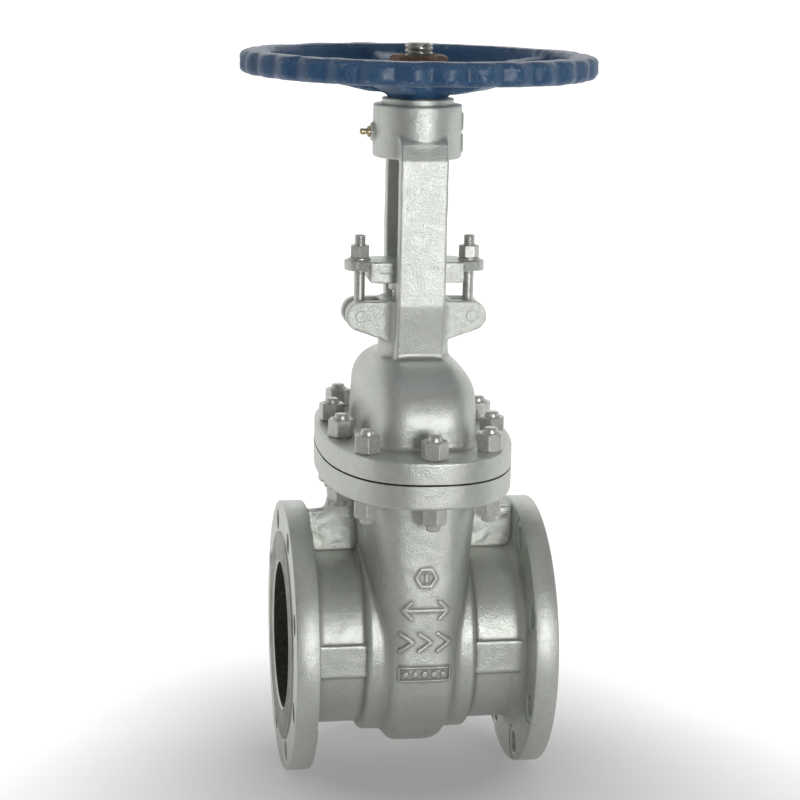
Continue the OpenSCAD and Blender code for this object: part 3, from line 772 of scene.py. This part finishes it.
def build_body():
    def uneven(whole, x, y, z):
        web = inside(np.abs(y), -20, 14, 5) * inside(z, 92, 172, 8) * inside(np.abs(x), 58, flange_back_x, 6)
        skin = 0.20 * lumps(x, y, z, 22, 11) + 0.10 * lumps(x, y, z, 6, 12)
        return whole + skin + web * (0.55 * lumps(x, y, z, 4.5, 13) + 0.45 * lumps(x, y, z, 8, 14))

    high = (face_x + 5, oval_y + 2, joint_h + 5)
    obj = solid("valve_body", quarter_casting(body_field, body_low[2] - 4, high, 1.25 * fine, uneven))
    for side in (-1, 1):
        carve(obj, turned_x(flange_envelope(), side))
        carve(obj, bolt_cutters(side))
    carve(obj, box_part((-200, -200, joint_h), (200, 200, joint_h + 40)))
    carve(obj, stud_hole_cutters(body_flange_low_h - 3, joint_h + 3))
    carve(obj, nose_marks(), "UNION")
    return obj


def read(items, name, width, kind=float):
    """What each vertex, edge or face of a mesh holds under a name, one row each."""
    values = np.empty(len(items) * width, kind)
    items.foreach_get(name, values)
    return values.reshape(-1, width)


def face_centres_and_normals(obj):
    faces = obj.data.polygons
    return read(faces, "center", 3) * 1000 - (0, 0, pipe_h), read(faces, "normal", 3)


def dress(obj, materials, index):
    """Gives each face of an object one of a few materials."""
    obj.data.materials.clear()
    for name in materials:
        obj.data.materials.append(MATERIALS[name])
    obj.data.polygons.foreach_set("material_index", np.asarray(index, np.int32))
    obj.data.update()


def dress_body(obj):
    """Rougher paint on the webs, steel on the raised faces, and bare metal in the bore and the cavity."""
    centre, normal = face_centres_and_normals(obj)
    x, y, z = np.abs(centre[:, 0]), np.abs(centre[:, 1]), centre[:, 2]
    ring = np.hypot(y, z)
    inward = (normal[:, 1:] * centre[:, 1:]).sum(1) < 0
    index = np.zeros(len(x), int)
    web = (y < web_half_t + 2) & (z > barrel_r) & (z < body_flange_low_h) & (x > chamber_top_x)
    index[web & (x < flange_back_x - 1) & (np.abs(normal[:, 1]) > 0.5)] = 1
    index[(x > face_x - 0.6) & (ring < raised_r + 0.1)] = 2
    index[(ring < port_r + 0.3) | ((x < seat_pocket_x + 1) & (ring < seat_r + 0.5) & inward)] = 3
    index[(chamber_field(x, y, z) < -6) & (x < seat_pocket_x)] = 3
    dress(obj, ["cast_paint", "rough_paint", "raised_face", "bore"], index)


def mark_hollows(obj, reach_mm=3.0, passes=6):
    """Stores how hollow and how edge-like the surface is at each vertex, from the way its normals turn."""
    mesh = obj.data
    count = len(mesh.vertices)
    a, b = read(mesh.edges, "vertices", 2, np.int64).T
    co = read(mesh.vertices, "co", 3) * 1000
    normal = read(mesh.vertices, "normal", 3)
    run = co[b] - co[a]
    length = np.linalg.norm(run, axis=1) + 1e-6
    bend = np.einsum("ij,ij->i", normal[b] - normal[a], run) / length ** 2
    total = np.bincount(a, bend, count) + np.bincount(b, bend, count)
    degree = np.maximum(np.bincount(a, minlength=count) + np.bincount(b, minlength=count), 1)
    curve = np.clip(total / degree, -0.5, 0.5)
    for _ in range(passes):
        spread = np.bincount(a, curve[b], count) + np.bincount(b, curve[a], count)
        curve = 0.4 * curve + 0.6 * spread / degree
    # hollow darkens the paints as painted shade; edge places the enamel's worn chips
    for name, value in (("hollow", np.clip(-curve * reach_mm * 1.6, 0, 1)),
                        ("edge", np.clip(curve * reach_mm * 1.6, 0, 1))):
        layer = mesh.attributes.new(name, "FLOAT", "POINT")
        layer.data.foreach_set("value", value.astype(np.float32))


body = build_body()
mark_hollows(body)
dress_body(body)
finish_piece(body, "valve", "cast_paint", "body")


# ---- bonnet and yoke

def dome_field(x, y, z):
    """The bonnet's dome: an oval section whose half axes shrink round the shoulders."""
    def half(full, shoulder):
        up = np.clip(z - (dome_top_h - shoulder), 0, shoulder * 0.985)
        rise = np.sqrt(shoulder ** 2 - up ** 2)
        return full - shoulder + rise, up / rise

    flare = 1.5 * np.clip((265 - z) / 45, 0, 1)
    a, slope_a = half(dome_half_x + flare, dome_shoulder_x)
    b, slope_b = half(chamber_top_y, dome_shoulder_y)
    share = (x / a) ** 2 / ((x / a) ** 2 + (y / b) ** 2 + 1e-6)
    slope = np.sqrt(share * slope_a ** 2 + (1 - share) * slope_b ** 2)
    side = superellipse(x, y, a, b, dome_power) / np.sqrt(1 + slope ** 2)
    return round_meet(side, z - dome_top_h, 4)


def dome_inside(x, y, z):
    """The hollow under the dome, a wall's thickness inside it."""
    wider_x = dome_half_x / (dome_half_x - wall)
    wider_y = chamber_top_y / (chamber_top_y - wall)
    return dome_field(x * wider_x, y * wider_y, z + wall) * 0.85


def arm_field(x, y, z):
    """A yoke arm: foot on the dome, a bend, a straight run and a slope up to the hub."""
    foot_y, run_y, hub_y = 42, 50, 30
    heights = [270, 296, 354, hub_low_h, 515, 523]
    bends = [foot_y, foot_y, run_y, run_y]
    outer = np.interp(z, heights, bends + [hub_r, hub_r - 8])
    inner = np.interp(z, heights, [y_out - arm_t for y_out in bends] + [hub_y, hub_y])
    lean = math.cos(math.atan2(8, 58))
    section = round_meet((y - outer) * lean, (inner - y) * lean, 2)
    section = round_meet(section, x - arm_half_w, 2.2)
    return meet(section, z - 524, 268 - z)


def ear_field(x, y, z):
    """A clevis ear for an eyebolt: a round end and a root that tapers down to the neck."""
    end = np.hypot(x - ear_x, z - ear_h) - ear_r
    root_x, root_h, root_angle = 28, 313, math.radians(15)
    foot_x = ear_x + ear_r * math.sin(root_angle)
    foot_h = ear_h - ear_r * math.cos(root_angle)
    run = math.hypot(foot_x - root_x, foot_h - root_h)
    lower = ((x - root_x) * (foot_h - root_h) - (z - root_h) * (foot_x - root_x)) / run
    cut = x - ear_x - (ear_h + ear_r - z) * 0.13
    outline = np.minimum(end, meet(z - ear_h - ear_r, lower, cut, 20 - x))
    slab = np.abs(y - sum(ear_y) / 2) - (ear_y[1] - ear_y[0]) / 2
    return round_meet(outline, slab, 2.0)


def bonnet_field(x, y, z):
    """The bonnet casting before it is machined: flange, dome, neck, arms, ears and hub."""
    dome_fillet, neck_fillet, arm_fillet, ear_fillet, hub_fillet = 5, 5, 3, 4, 2.2
    oval = superellipse(x, y, oval_x, oval_y, oval_power)
    flange = meet(round_meet(oval, z - bonnet_flange_top_h, 2.2), upper_joint_h - stock - z)
    dome = meet(dome_field(x, y, z), bonnet_flange_top_h - 8 - z)
    shell = round_join(flange, dome, dome_fillet)
    stem_ring = np.hypot(x, y)
    neck = meet(round_meet(stem_ring - neck_r, z - neck_top_h, 2), 276 - z)
    shell = round_join(shell, round_join(neck, arm_field(x, y, z), arm_fillet), neck_fillet)
    shell = round_join(shell, meet(ear_field(x, y, z), 300 - z), ear_fillet)
    hub = round_meet(round_meet(stem_ring - hub_r, z - hub_top_h - stock, 0.5), hub_low_h - z, 3)
    shell = round_join(shell, hub, hub_fillet)
    return meet(shell, -meet(dome_inside(x, y, z), 180 - z))


def build_bonnet():
    def uneven(whole, x, y, z):
        ears = inside(np.abs(y), 0, 26, 4) * inside(z, 316, 358, 5) * inside(np.abs(x), 26, 80, 4)
        whole = whole + 0.16 * lumps(x, y, z, 20, 31) + 0.08 * lumps(x, y, z, 6, 32)
        whole = whole + ears * 0.12 * lumps(x, y, z, 2.6, 33)
        around = (np.arctan2(y, x) + 0.17) * hub_r
        for low_h, high_h in ((504, 522), (526, 543)):
            tile = meet(np.abs(around) - 7, np.abs(z - (low_h + high_h) / 2) - (high_h - low_h) / 2)
            plate = meet(np.hypot(x, y) - hub_r - 1.6, 40 - x)
            whole = np.minimum(whole, round_meet(tile, plate, 1.0))
        boss = round_meet(np.hypot(y, z - nipple_h) - 9.5, -x - hub_r - 3.2, 2.6)
        return round_join(whole, meet(boss, x + hub_r - 6), 1.2)

    high = (oval_x + 3, oval_y + 2, hub_top_h + 5)
    part = quarter_casting(bonnet_field, upper_joint_h - 5, high, 1.15 * fine, uneven)
    obj = solid("bonnet_and_yoke", part)
    carve(obj, box_part((-200, -200, upper_joint_h - 30), (200, 200, upper_joint_h)))
    box_r = 22.05
    bore = [(19, 240), (19, dome_top_h), (box_r, dome_top_h), (box_r, neck_top_h - 1),
            (23.5, neck_top_h + 0.5), (23.5, neck_top_h + 3)]
    carve(obj, ring_stack(bore, 64, False))
    seat_hole_r = sleeve_r + 0.05
    seat = [(seat_hole_r, hub_low_h - 6), (seat_hole_r, hub_floor_h), (35, hub_floor_h), (35, hub_top_h - 1),
            (36.2, hub_top_h), (hub_r - 2.2, hub_top_h), (hub_r - 0.9, hub_top_h - 0.3),
            (hub_r - 0.2, hub_top_h - 1.1), (hub_r + 0.15, hub_top_h - 2.4), (hub_r + 3, hub_top_h - 2.4),
            (hub_r + 3, hub_top_h + 8)]
    carve(obj, ring_stack(seat, 96, False))
    carve(obj, stud_hole_cutters(upper_joint_h - 3, bonnet_flange_top_h + 3))
    pin_hole = ring_stack([(pin_r + 0.05, -30), (pin_r + 0.05, 30)], 40, False)
    carve(obj, both_sides(pin_hole, ear_x, ear_h, "Y"))
    grease_hole = ring_stack([(3, 30), (3, hub_r + 8)], 24, False)
    carve(obj, placed(grease_hole, (0, 0, nipple_h), 0, "-X"))
    return obj


def dress_bonnet(obj):
    """Rougher paint on the ears, bare metal under the dome, and steel in the bores and on the joint."""
    centre, normal = face_centres_and_normals(obj)
    x, y, z = np.abs(centre[:, 0]), np.abs(centre[:, 1]), centre[:, 2]
    ring = np.hypot(x, y)
    index = np.zeros(len(x), int)
    index[(x > arm_half_w + 4) & (z > 315) & (z < 356) & (np.abs(normal[:, 1]) > 0.6)] = 1
    index[(dome_inside(x, y, z) < 1.0) & (z < dome_top_h - wall + 2)] = 2
    index[(ring < 22.3) | ((ring < 35.3) & (z > hub_floor_h - 1))] = 3
    index[z < upper_joint_h + 0.05] = 3
    dress(obj, ["cast_paint", "rough_paint", "bore", "machined_steel"], index)


bonnet = build_bonnet()
mark_hollows(bonnet)
dress_bonnet(bonnet)
finish_piece(bonnet, "valve", "cast_paint", "bonnet")


# ---- studs and nuts

NUT_TURNS = {(0, -1): 9.5, (-1, -2): 55, (-1, 2): 20.5, (-1, 1): 8.5, (-1, -1): 38, (1, -2): 40,
             (1, -1): 45, (1, 1): 32, (1, 2): 12, (0, 1): 5}      # degrees, by side and row


def nut_turn(x, y):
    """How far each nut happened to be turned when it was tightened, in degrees."""
    row = 2 if abs(x) > 1 and abs(y) > 60 else 1
    return NUT_TURNS[int(np.sign(round(x))), int(np.sign(y)) * row]


def stud(low_h, high_h):
    """A stud with rolled threads and turned-down, rounded ends."""
    end = [(0.4, 0), (0.72, 0.2), (0.83, 0.8), (0.86, 2.2)]
    rows = [(stud_r * share, low_h + inwards) for share, inwards in end]
    rows += thread(stud_r, 2, low_h + 7.5, low_h + 30, 0.7, 1, 32)
    rows += thread(stud_r, 2, high_h - 27, high_h - 5.5, 0.7, 1, 32)
    rows += [(stud_r * share, high_h - inwards) for share, inwards in end[::-1]]
    return ring_stack(rows, 32, False)


def bonnet_nuts(low_h, wobble):
    """A nut on each stud, turned as NUT_TURNS says and by up to a few degrees more from stud to stud."""
    nut = hex_nut(nut_af, nut_h, stud_r + 0.05)
    return merge(*[placed(nut, (x, y, low_h), nut_turn(x, y) + wobble(i)) for i, (x, y) in enumerate(STUDS)])


bare_stud = stud(stud_low[2], stud_high[2])
studs = merge(*[placed(bare_stud, (x, y, 0), 37 * i) for i, (x, y) in enumerate(STUDS)])
upper_nuts = bonnet_nuts(bonnet_flange_top_h, lambda i: 0)
lower_nuts = bonnet_nuts(body_flange_low_h - nut_h, lambda i: 5 * i % 7 - 3)
finish_piece(solid("bonnet_stud_set", studs), "valve", "bolting", "bonnet_studs", sharp=50)
finish_piece(solid("upper_bonnet_nuts", upper_nuts), "valve", "bolting", "bonnet_nuts_upper", sharp=20)
finish_piece(solid("lower_bonnet_nuts", lower_nuts), "valve", "bolting", "bonnet_nuts_lower", sharp=20)


# ---- gland: flange, follower, eyebolts

def gland_field(x, y, z):
    """The gland flange: a deep block in the middle and thinner round-ended lugs."""
    block_half_x, lug_x, lug_r, lug_t = 47.5, 60, 15.5, 10.5
    block = meet(x - block_half_x, y - gland_half_y, gland_low[2] - z)
    waist = np.interp(x, [0, 38, lug_x], [gland_half_y, gland_half_y, 14.9])
    lug = np.minimum(meet(y - waist, x - lug_x), np.hypot(x - bolt_x, y) - lug_r)
    shape = round_join(block, meet(lug, gland_high[2] - lug_t - z), 0.6)
    return round_meet(shape, z - gland_high[2], 1.8)


def build_gland():
    def uneven(whole, x, y, z):
        return whole + 0.18 * lumps(x, y, z, 8, 41) + 0.12 * lumps(x, y, z, 3, 42)

    low_h, high_h, stem_hole_r, bolt_hole = gland_low[2], gland_high[2], 16, 6.5
    obj = solid("gland_flange_casting", quarter_casting(gland_field, low_h, gland_high, 0.85 * fine, uneven))
    carve(obj, ring_stack([(stem_hole_r, low_h - 4), (stem_hole_r, high_h - 1),
                           (stem_hole_r + 1, high_h + 0.1), (stem_hole_r + 1, high_h + 4)], 64, False))
    carve(obj, both_sides(ring_stack([(bolt_hole, low_h - 4), (bolt_hole, high_h + 4)], 40, False), bolt_x))
    return obj


gland = build_gland()
mark_hollows(gland)
finish_piece(gland, "valve", "cast_paint", "gland_flange")

follower_bore, follower_r, collar_r = 14.2, 21.8, 26
collar_low_h = follower_high[2] - 9
follower = ring_stack(eased([
    (follower_bore, follower_low[2]), (follower_r, follower_low[2]), (follower_r, collar_low_h),
    (collar_r, collar_low_h), (collar_r, follower_high[2]), (follower_bore, follower_high[2])], 0.5), 64)
finish_piece(solid("gland_follower_sleeve", follower), "valve", "machined_steel", "gland_follower", sharp=25)


def build_eyebolt(side, name):
    """An eyebolt on its pin: a forged eye and a rod with a rolled thread."""
    top = eyebolt_high[2] - ear_h
    rows = [(eyebolt_r, h) for h in (8, 20, 30, 38)]
    rows += thread(eyebolt_r, 1.75, 40, top - 0.9, 0.6, 1, 32)
    rows += [(eyebolt_r * 0.86, top - 0.5), (eyebolt_r * 0.7, top - 0.1), (eyebolt_r * 0.3, top)]
    eye = placed(tube(13, pin_r + 0.1, -9, 9, 2.2, 48), axis="Y")
    obj = solid(f"eyebolt_{name}_forging", placed(eye, (side * ear_x, 0, ear_h)))
    return carve(obj, placed(ring_stack(rows, 32, False), (side * bolt_x, 0, ear_h), 90 * side), "UNION")


for side, name in ((-1, "left"), (1, "right")):
    finish_piece(build_eyebolt(side, name), "valve", "bolting", f"eyebolt_{name}", sharp=40)

pin_half = pin_high[1]
pin_rows = [(1.5, -pin_half), (pin_r - 0.5, -pin_half), (pin_r, -pin_half + 0.5),
            (pin_r, pin_half - 0.5), (pin_r - 0.5, pin_half), (1.5, pin_half)]
pin = ring_stack(eased(pin_rows, 0.3, False), 40, False)
finish_piece(solid("clevis_pins", both_sides(pin, ear_x, ear_h, "Y")), "valve", "bolting", "eyebolt_pins",
             "rough_paint", 30)

washer_top_h = gland_high[2] + gland_washer_h
washers = both_sides(tube(11, eyebolt_r + 0.1, gland_high[2], washer_top_h, 0.4, 48), bolt_x)
finish_piece(solid("gland_washer_pair", washers), "valve", "bolting", "gland_washers")

gland_nut = hex_nut(gland_nut_af, gland_nut_h, eyebolt_r + 0.1)
gland_nuts = merge(*[placed(gland_nut, (s * bolt_x, 0, washer_top_h), turn)
                     for s, turn in ((-1, -9), (1, 25))])
finish_piece(solid("gland_nut_pair", gland_nuts), "valve", "bolting", "gland_nuts", sharp=20)


# ---- hub: bearing cap, sleeve, nipple

cap_top_h = cap_high[2]
cap = solid("bearing_cap_ring", ring_stack(eased([
    (29.1, cap_low[2]), (34.9, cap_low[2]), (34.9, hub_top_h), (36, hub_top_h), (36, cap_top_h - 0.9),
    (35.1, cap_top_h), (31.5, cap_top_h), (30.6, cap_top_h - 0.8), (29.1, cap_top_h - 0.8)], 0.35), 96))
mark_hollows(cap)
finish_piece(cap, "valve", "cast_paint", "bearing_cap", sharp=25)


def keyway(low_h, high_h):
    return box_part((keyway_x[0], -keyway_half_y, low_h), (keyway_x[1], keyway_half_y, high_h))


def build_sleeve():
    """The stem nut: a sleeve with a thrust collar, a seat for the wheel and a thread for its nut."""
    bore_r, thrust_r, journal_r, wheel_fit_r = 14.1, 34, 29, 21
    thrust_low_h, thrust_high_h, top_h = 515.1, 526.1, sleeve_high[2]
    rows = eased([(bore_r, sleeve_low[2]), (sleeve_r, sleeve_low[2]), (sleeve_r, thrust_low_h),
                  (thrust_r, thrust_low_h), (thrust_r, thrust_high_h), (journal_r, thrust_high_h),
                  (journal_r, wheel_seat_h), (wheel_fit_r, wheel_seat_h), (wheel_fit_r, wheel_hub_top_h),
                  (wheel_nut_thread_r, wheel_hub_top_h)], 0.4, False)
    rows += thread(wheel_nut_thread_r, 2, wheel_hub_top_h, top_h - 0.6, 0.7, 1, 64)
    rows += [(18.2, top_h), (15.3, top_h), (bore_r, top_h - 1.2)]
    return carve(solid("yoke_sleeve_nut", ring_stack(rows, 64)), keyway(wheel_seat_h, wheel_hub_top_h + 0.5))


finish_piece(build_sleeve(), "handwheel_assembly", "machined_steel", "yoke_sleeve", "dark_steel", 30)


def nipple_part():
    """A grease nipple along the stem's axis: a shank, a hexagon, a neck and a ball end."""
    seat_x, tip_x = hub_r + 2.5, hub_r + 12.5
    hexagon = hex_radius(10.4, 48, 30)
    shank = eased([(1.0, hub_r - 5), (2.95, hub_r - 5), (2.95, seat_x), (3.2, seat_x)], 0.2, False)
    tip = eased([(3.4, seat_x + 3.6), (3.3, seat_x + 4.6), (2.8, seat_x + 5.4), (2.8, tip_x - 3.6),
                 (3.2, tip_x - 2.8), (3.2, tip_x - 0.4), (2.3, tip_x + 1.0), (1.0, tip_x + 1.2),
                 (0.6, tip_x + 0.8)], 0.3, False)
    return ring_stack(shank + [(hexagon, seat_x + 0.2), (hexagon, seat_x + 3.3)] + tip, 48, False)


nipple = solid("grease_nipple_brass", placed(nipple_part(), (0, 0, nipple_h), 0, "-X"))
finish_piece(nipple, "valve", "brass", "grease_nipple", sharp=30)


# ---- stem

def build_stem():
    """The stem: a T-head in the wedge, a backseat shoulder, a ground length and a lifting thread."""
    head_half_x, head_half_y, thread_low = 11, 20, 398
    rows = [(11, 99), (11, 111), (17.4, 111.3), (18, 112), (18, 116.2), (17.4, 117), (stem_r, 117.9)]
    rows += [(stem_r, h) for h in np.linspace(122, thread_low - 1.5, 12)]
    rows += thread(stem_r, thread_pitch, thread_low, stem_high[2] - 1.6, 1.7, -1, 48, 10, False)
    rows += [(stem_r - 1.9, stem_high[2] - 0.7), (stem_r - 2.6, stem_high[2]), (3, stem_high[2])]
    head = box_part((-head_half_x, -head_half_y, 88), (head_half_x, head_half_y, 100))
    return carve(solid("stem_rod", ring_stack(rows, 48, False)), head, "UNION")


finish_piece(build_stem(), "stem_assembly", "stem_steel", "stem", sharp=40)


# ---- handwheel

def wheel_field(x, y, z):
    """The handwheel: a lobed rim, five broad spokes that drop to the hub, and the hub itself."""
    ring = np.hypot(x, y)
    angle = np.arctan2(y, x)
    rim_mid = (rim_low_h + rim_high_h) / 2
    rim_half_h = (rim_high_h - rim_low_h) / 2
    lobe_depth = 4.6
    grip = (0.5 + 0.5 * np.cos(angle * lobes)) ** 0.7
    level = np.clip(1 - (np.abs(z - rim_mid) / (rim_half_h + 2)) ** 4, 0, 1)
    outer = wheel_r - lobe_depth + lobe_depth * grip * level
    rim = round_meet(round_meet(ring - outer, rim_r - 12 - ring, 5), np.abs(z - rim_mid) - rim_half_h, 6.5)
    sector = 2 * math.pi / spokes
    fold = (angle - first_spoke + sector / 2) % sector - sector / 2
    along, across = ring * np.cos(fold), ring * np.sin(fold)
    low = np.interp(along, [0, 27, 45, 75, 110, 160], [561, 561, 562.5, 568, 577, 583])
    high = np.interp(along, [0, 27, 50, 75, 112, 160], [582, 580, 580, 583, 591, 596])
    spoke = round_meet(low - z, z - high, 5)
    spoke = meet(round_meet(spoke, np.abs(across) - 13.5, 5), along - rim_r)
    hub_side = ring - np.interp(z, [wheel_seat_h, 566, 576, wheel_hub_top_h], [29.5, 33, 34, 32])
    hub = round_meet(meet(hub_side, wheel_seat_h - z), z - wheel_hub_top_h, 2)
    return round_join(round_join(rim, spoke, 7), hub, 6)


def build_wheel():
    def whole_wheel(x, y, z):
        return wheel_field(x, y, z) + 0.3 * lumps(x, y, z, 14, 51) + 0.2 * lumps(x, y, z, 4.5, 52)

    bore_r, below_h, under_h = 21.05, wheel_seat_h - 9, wheel_seat_h + 1.2
    part = local_casting(whole_wheel, (-wheel_r, -wheel_r, wheel_seat_h), wheel_high, 1.2 * fine)
    obj = solid("handwheel_casting", part)
    carve(obj, ring_stack([(bore_r, wheel_seat_h - 5), (bore_r, wheel_hub_top_h - 1), (22, wheel_hub_top_h),
                           (40, wheel_hub_top_h), (40, wheel_hub_top_h + 9)], 64, False))
    carve(obj, keyway(wheel_seat_h - 5, wheel_hub_top_h + 5))
    carve(obj, ring_stack([(31.5, below_h), (31.5, under_h), (45, under_h), (45, below_h)], 96))
    return obj


wheel = build_wheel()
mark_hollows(wheel)
finish_piece(wheel, "handwheel_assembly", "wheel_paint", "handwheel")

hexagon = hex_nut(wheel_nut_af, wheel_nut_high[2] - wheel_nut_low[2], wheel_nut_thread_r + 0.05, 120, False)
wheel_nut = solid("handwheel_nut_hex", placed(hexagon, (0, 0, wheel_nut_low[2]), 12))
finish_piece(wheel_nut, "handwheel_assembly", "wheel_nut", "handwheel_nut", sharp=20)


# ---- CAD pieces that keep their shape

KEPT = {"seat_ring_left": "facing_steel", "seat_ring_right": "facing_steel", "gate_wedge": "facing_steel",
        "bonnet_gasket": "graphite", "backseat_bushing": "machined_steel", "packing_washer": "machined_steel",
        "packing_rings": "graphite", "thrust_washer_lower": "bronze", "thrust_washer_upper": "bronze",
        "handwheel_key": "machined_steel"}
for node, finish in KEPT.items():
    mesh = frame["nodes"][node].data
    mesh.materials.clear()
    mesh.materials.append(MATERIALS[finish])


# ---- studio

def studio_sweep():
    """A plain pale floor, in metres, that curves up into a round wall well outside the lights.

    It glows behind the valve and fades to the front, its dimmer glow under the valve is a painted soft
    shadow, and it lights the valve less than it shows.
    """
    floor_r, wall_top, bend = 3.6, 5.0, 1.2
    rows = [(0.05, 0.0), (1.0, 0.0)]
    rows += [(floor_r + bend * math.sin(a), bend - bend * math.cos(a))
             for a in np.linspace(0, math.pi / 2, 14)]
    rows.append((floor_r + bend, wall_top))
    verts, faces = ring_stack(rows, 96, False)
    mesh = bpy.data.meshes.new("studio_sweep")
    mesh.from_pydata(verts.tolist(), [], faces[:-1])
    mesh.polygons.foreach_set("use_smooth", [True] * len(mesh.polygons))
    obj = bpy.data.objects.new("studio_sweep", mesh)
    scene.collection.objects.link(obj)
    paper = Finish("studio_paper", Roughness=0.9)
    paper.shader.inputs["Emission Color"].default_value = (1, 1, 1, 1)
    reach = paper.node("ShaderNodeVectorMath", operation="LENGTH")
    paper.link(paper.place, reach.inputs[0])
    spot = paper.node("ShaderNodeSeparateXYZ")
    paper.link(paper.place, spot.inputs[0])
    # the glow drops under the valve as a painted shadow
    shadow_under_valve, front, back, share_on_valve = 0.25, 0.09, 0.95, 0.72      # how brightly the paper glows
    glow = paper.math("MULTIPLY", paper.ramp(reach.outputs["Value"], 0.1, 0.42, shadow_under_valve, 1.0),
                      paper.ramp(spot.outputs["Y"], -0.7, 0.1, front, back))
    camera_ray = paper.node("ShaderNodeLightPath").outputs["Is Camera Ray"]
    seen = paper.ramp(camera_ray, 0, 1, share_on_valve, 1.0)
    paper.link(paper.math("MULTIPLY", glow, seen), paper.shader.inputs["Emission Strength"])
    tone = paper.blend(paper.noise(900, 2), [0.36, 0.36, 0.358], [0.34, 0.34, 0.338])
    mesh.materials.append(paper.finish(tone))


def area_light(name, at, towards, size, power, color=(1, 1, 1)):
    light = bpy.data.lights.new(name, "AREA")
    light.shape = "RECTANGLE"
    light.size, light.size_y = size
    light.energy = power
    light.color = color
    obj = bpy.data.objects.new(name, light)
    obj.location = at
    obj.rotation_euler = (Vector(towards) - Vector(at)).to_track_quat("-Z", "Y").to_euler()
    scene.collection.objects.link(obj)


def build_studio():
    studio_sweep()
    middle = (0, 0, 0.38)
    area_light("key_softbox", (0.46, -2.25, 0.62), middle, (0.65, 0.5), 17)
    area_light("left_fill", (-2.4, -0.7, 0.7), middle, (1.2, 1.6), 1.2, (1.0, 0.95, 0.88))
    area_light("right_fill", (2.4, -0.4, 0.7), middle, (1.2, 1.6), 3, (0.92, 1.0, 0.94))
    area_light("back_fill", (0.6, 2.6, 1.3), middle, (2.0, 1.6), 4)
    area_light("top_wash", (0, -0.4, 3.0), (0, 0, 0), (3.0, 3.0), 12)
    world = bpy.data.worlds.new("studio_world")
    world.use_nodes = True
    world.node_tree.nodes["Background"].inputs["Color"].default_value = (0.9, 0.92, 0.92, 1)
    world.node_tree.nodes["Background"].inputs["Strength"].default_value = 0.05
    scene.world = world
    scene.view_settings.view_transform = "Standard"


def build_camera():
    """The camera, a little left of the front and just above the bonnet, rolled slightly."""
    at, target = Vector((-0.3659, -2.1120, 0.8569)), Vector((-0.0118, 0.0002, 0.3879))
    roll = math.radians(1.204)
    forward = (target - at).normalized()
    right = forward.cross(Vector((0, 0, 1))).normalized()
    up = right.cross(forward)
    side = math.cos(roll) * right + math.sin(roll) * up
    top = -math.sin(roll) * right + math.cos(roll) * up
    camera = bpy.data.objects.new("camera", bpy.data.cameras.new("camera"))
    camera.matrix_world = Matrix((side, top, -forward)).transposed().to_4x4()
    camera.location = at
    camera.data.lens = 96.04
    camera.data.sensor_width = 36
    camera.data.clip_start = 0.05
    scene.collection.objects.link(camera)
    scene.camera = camera


build_camera()
build_studio()
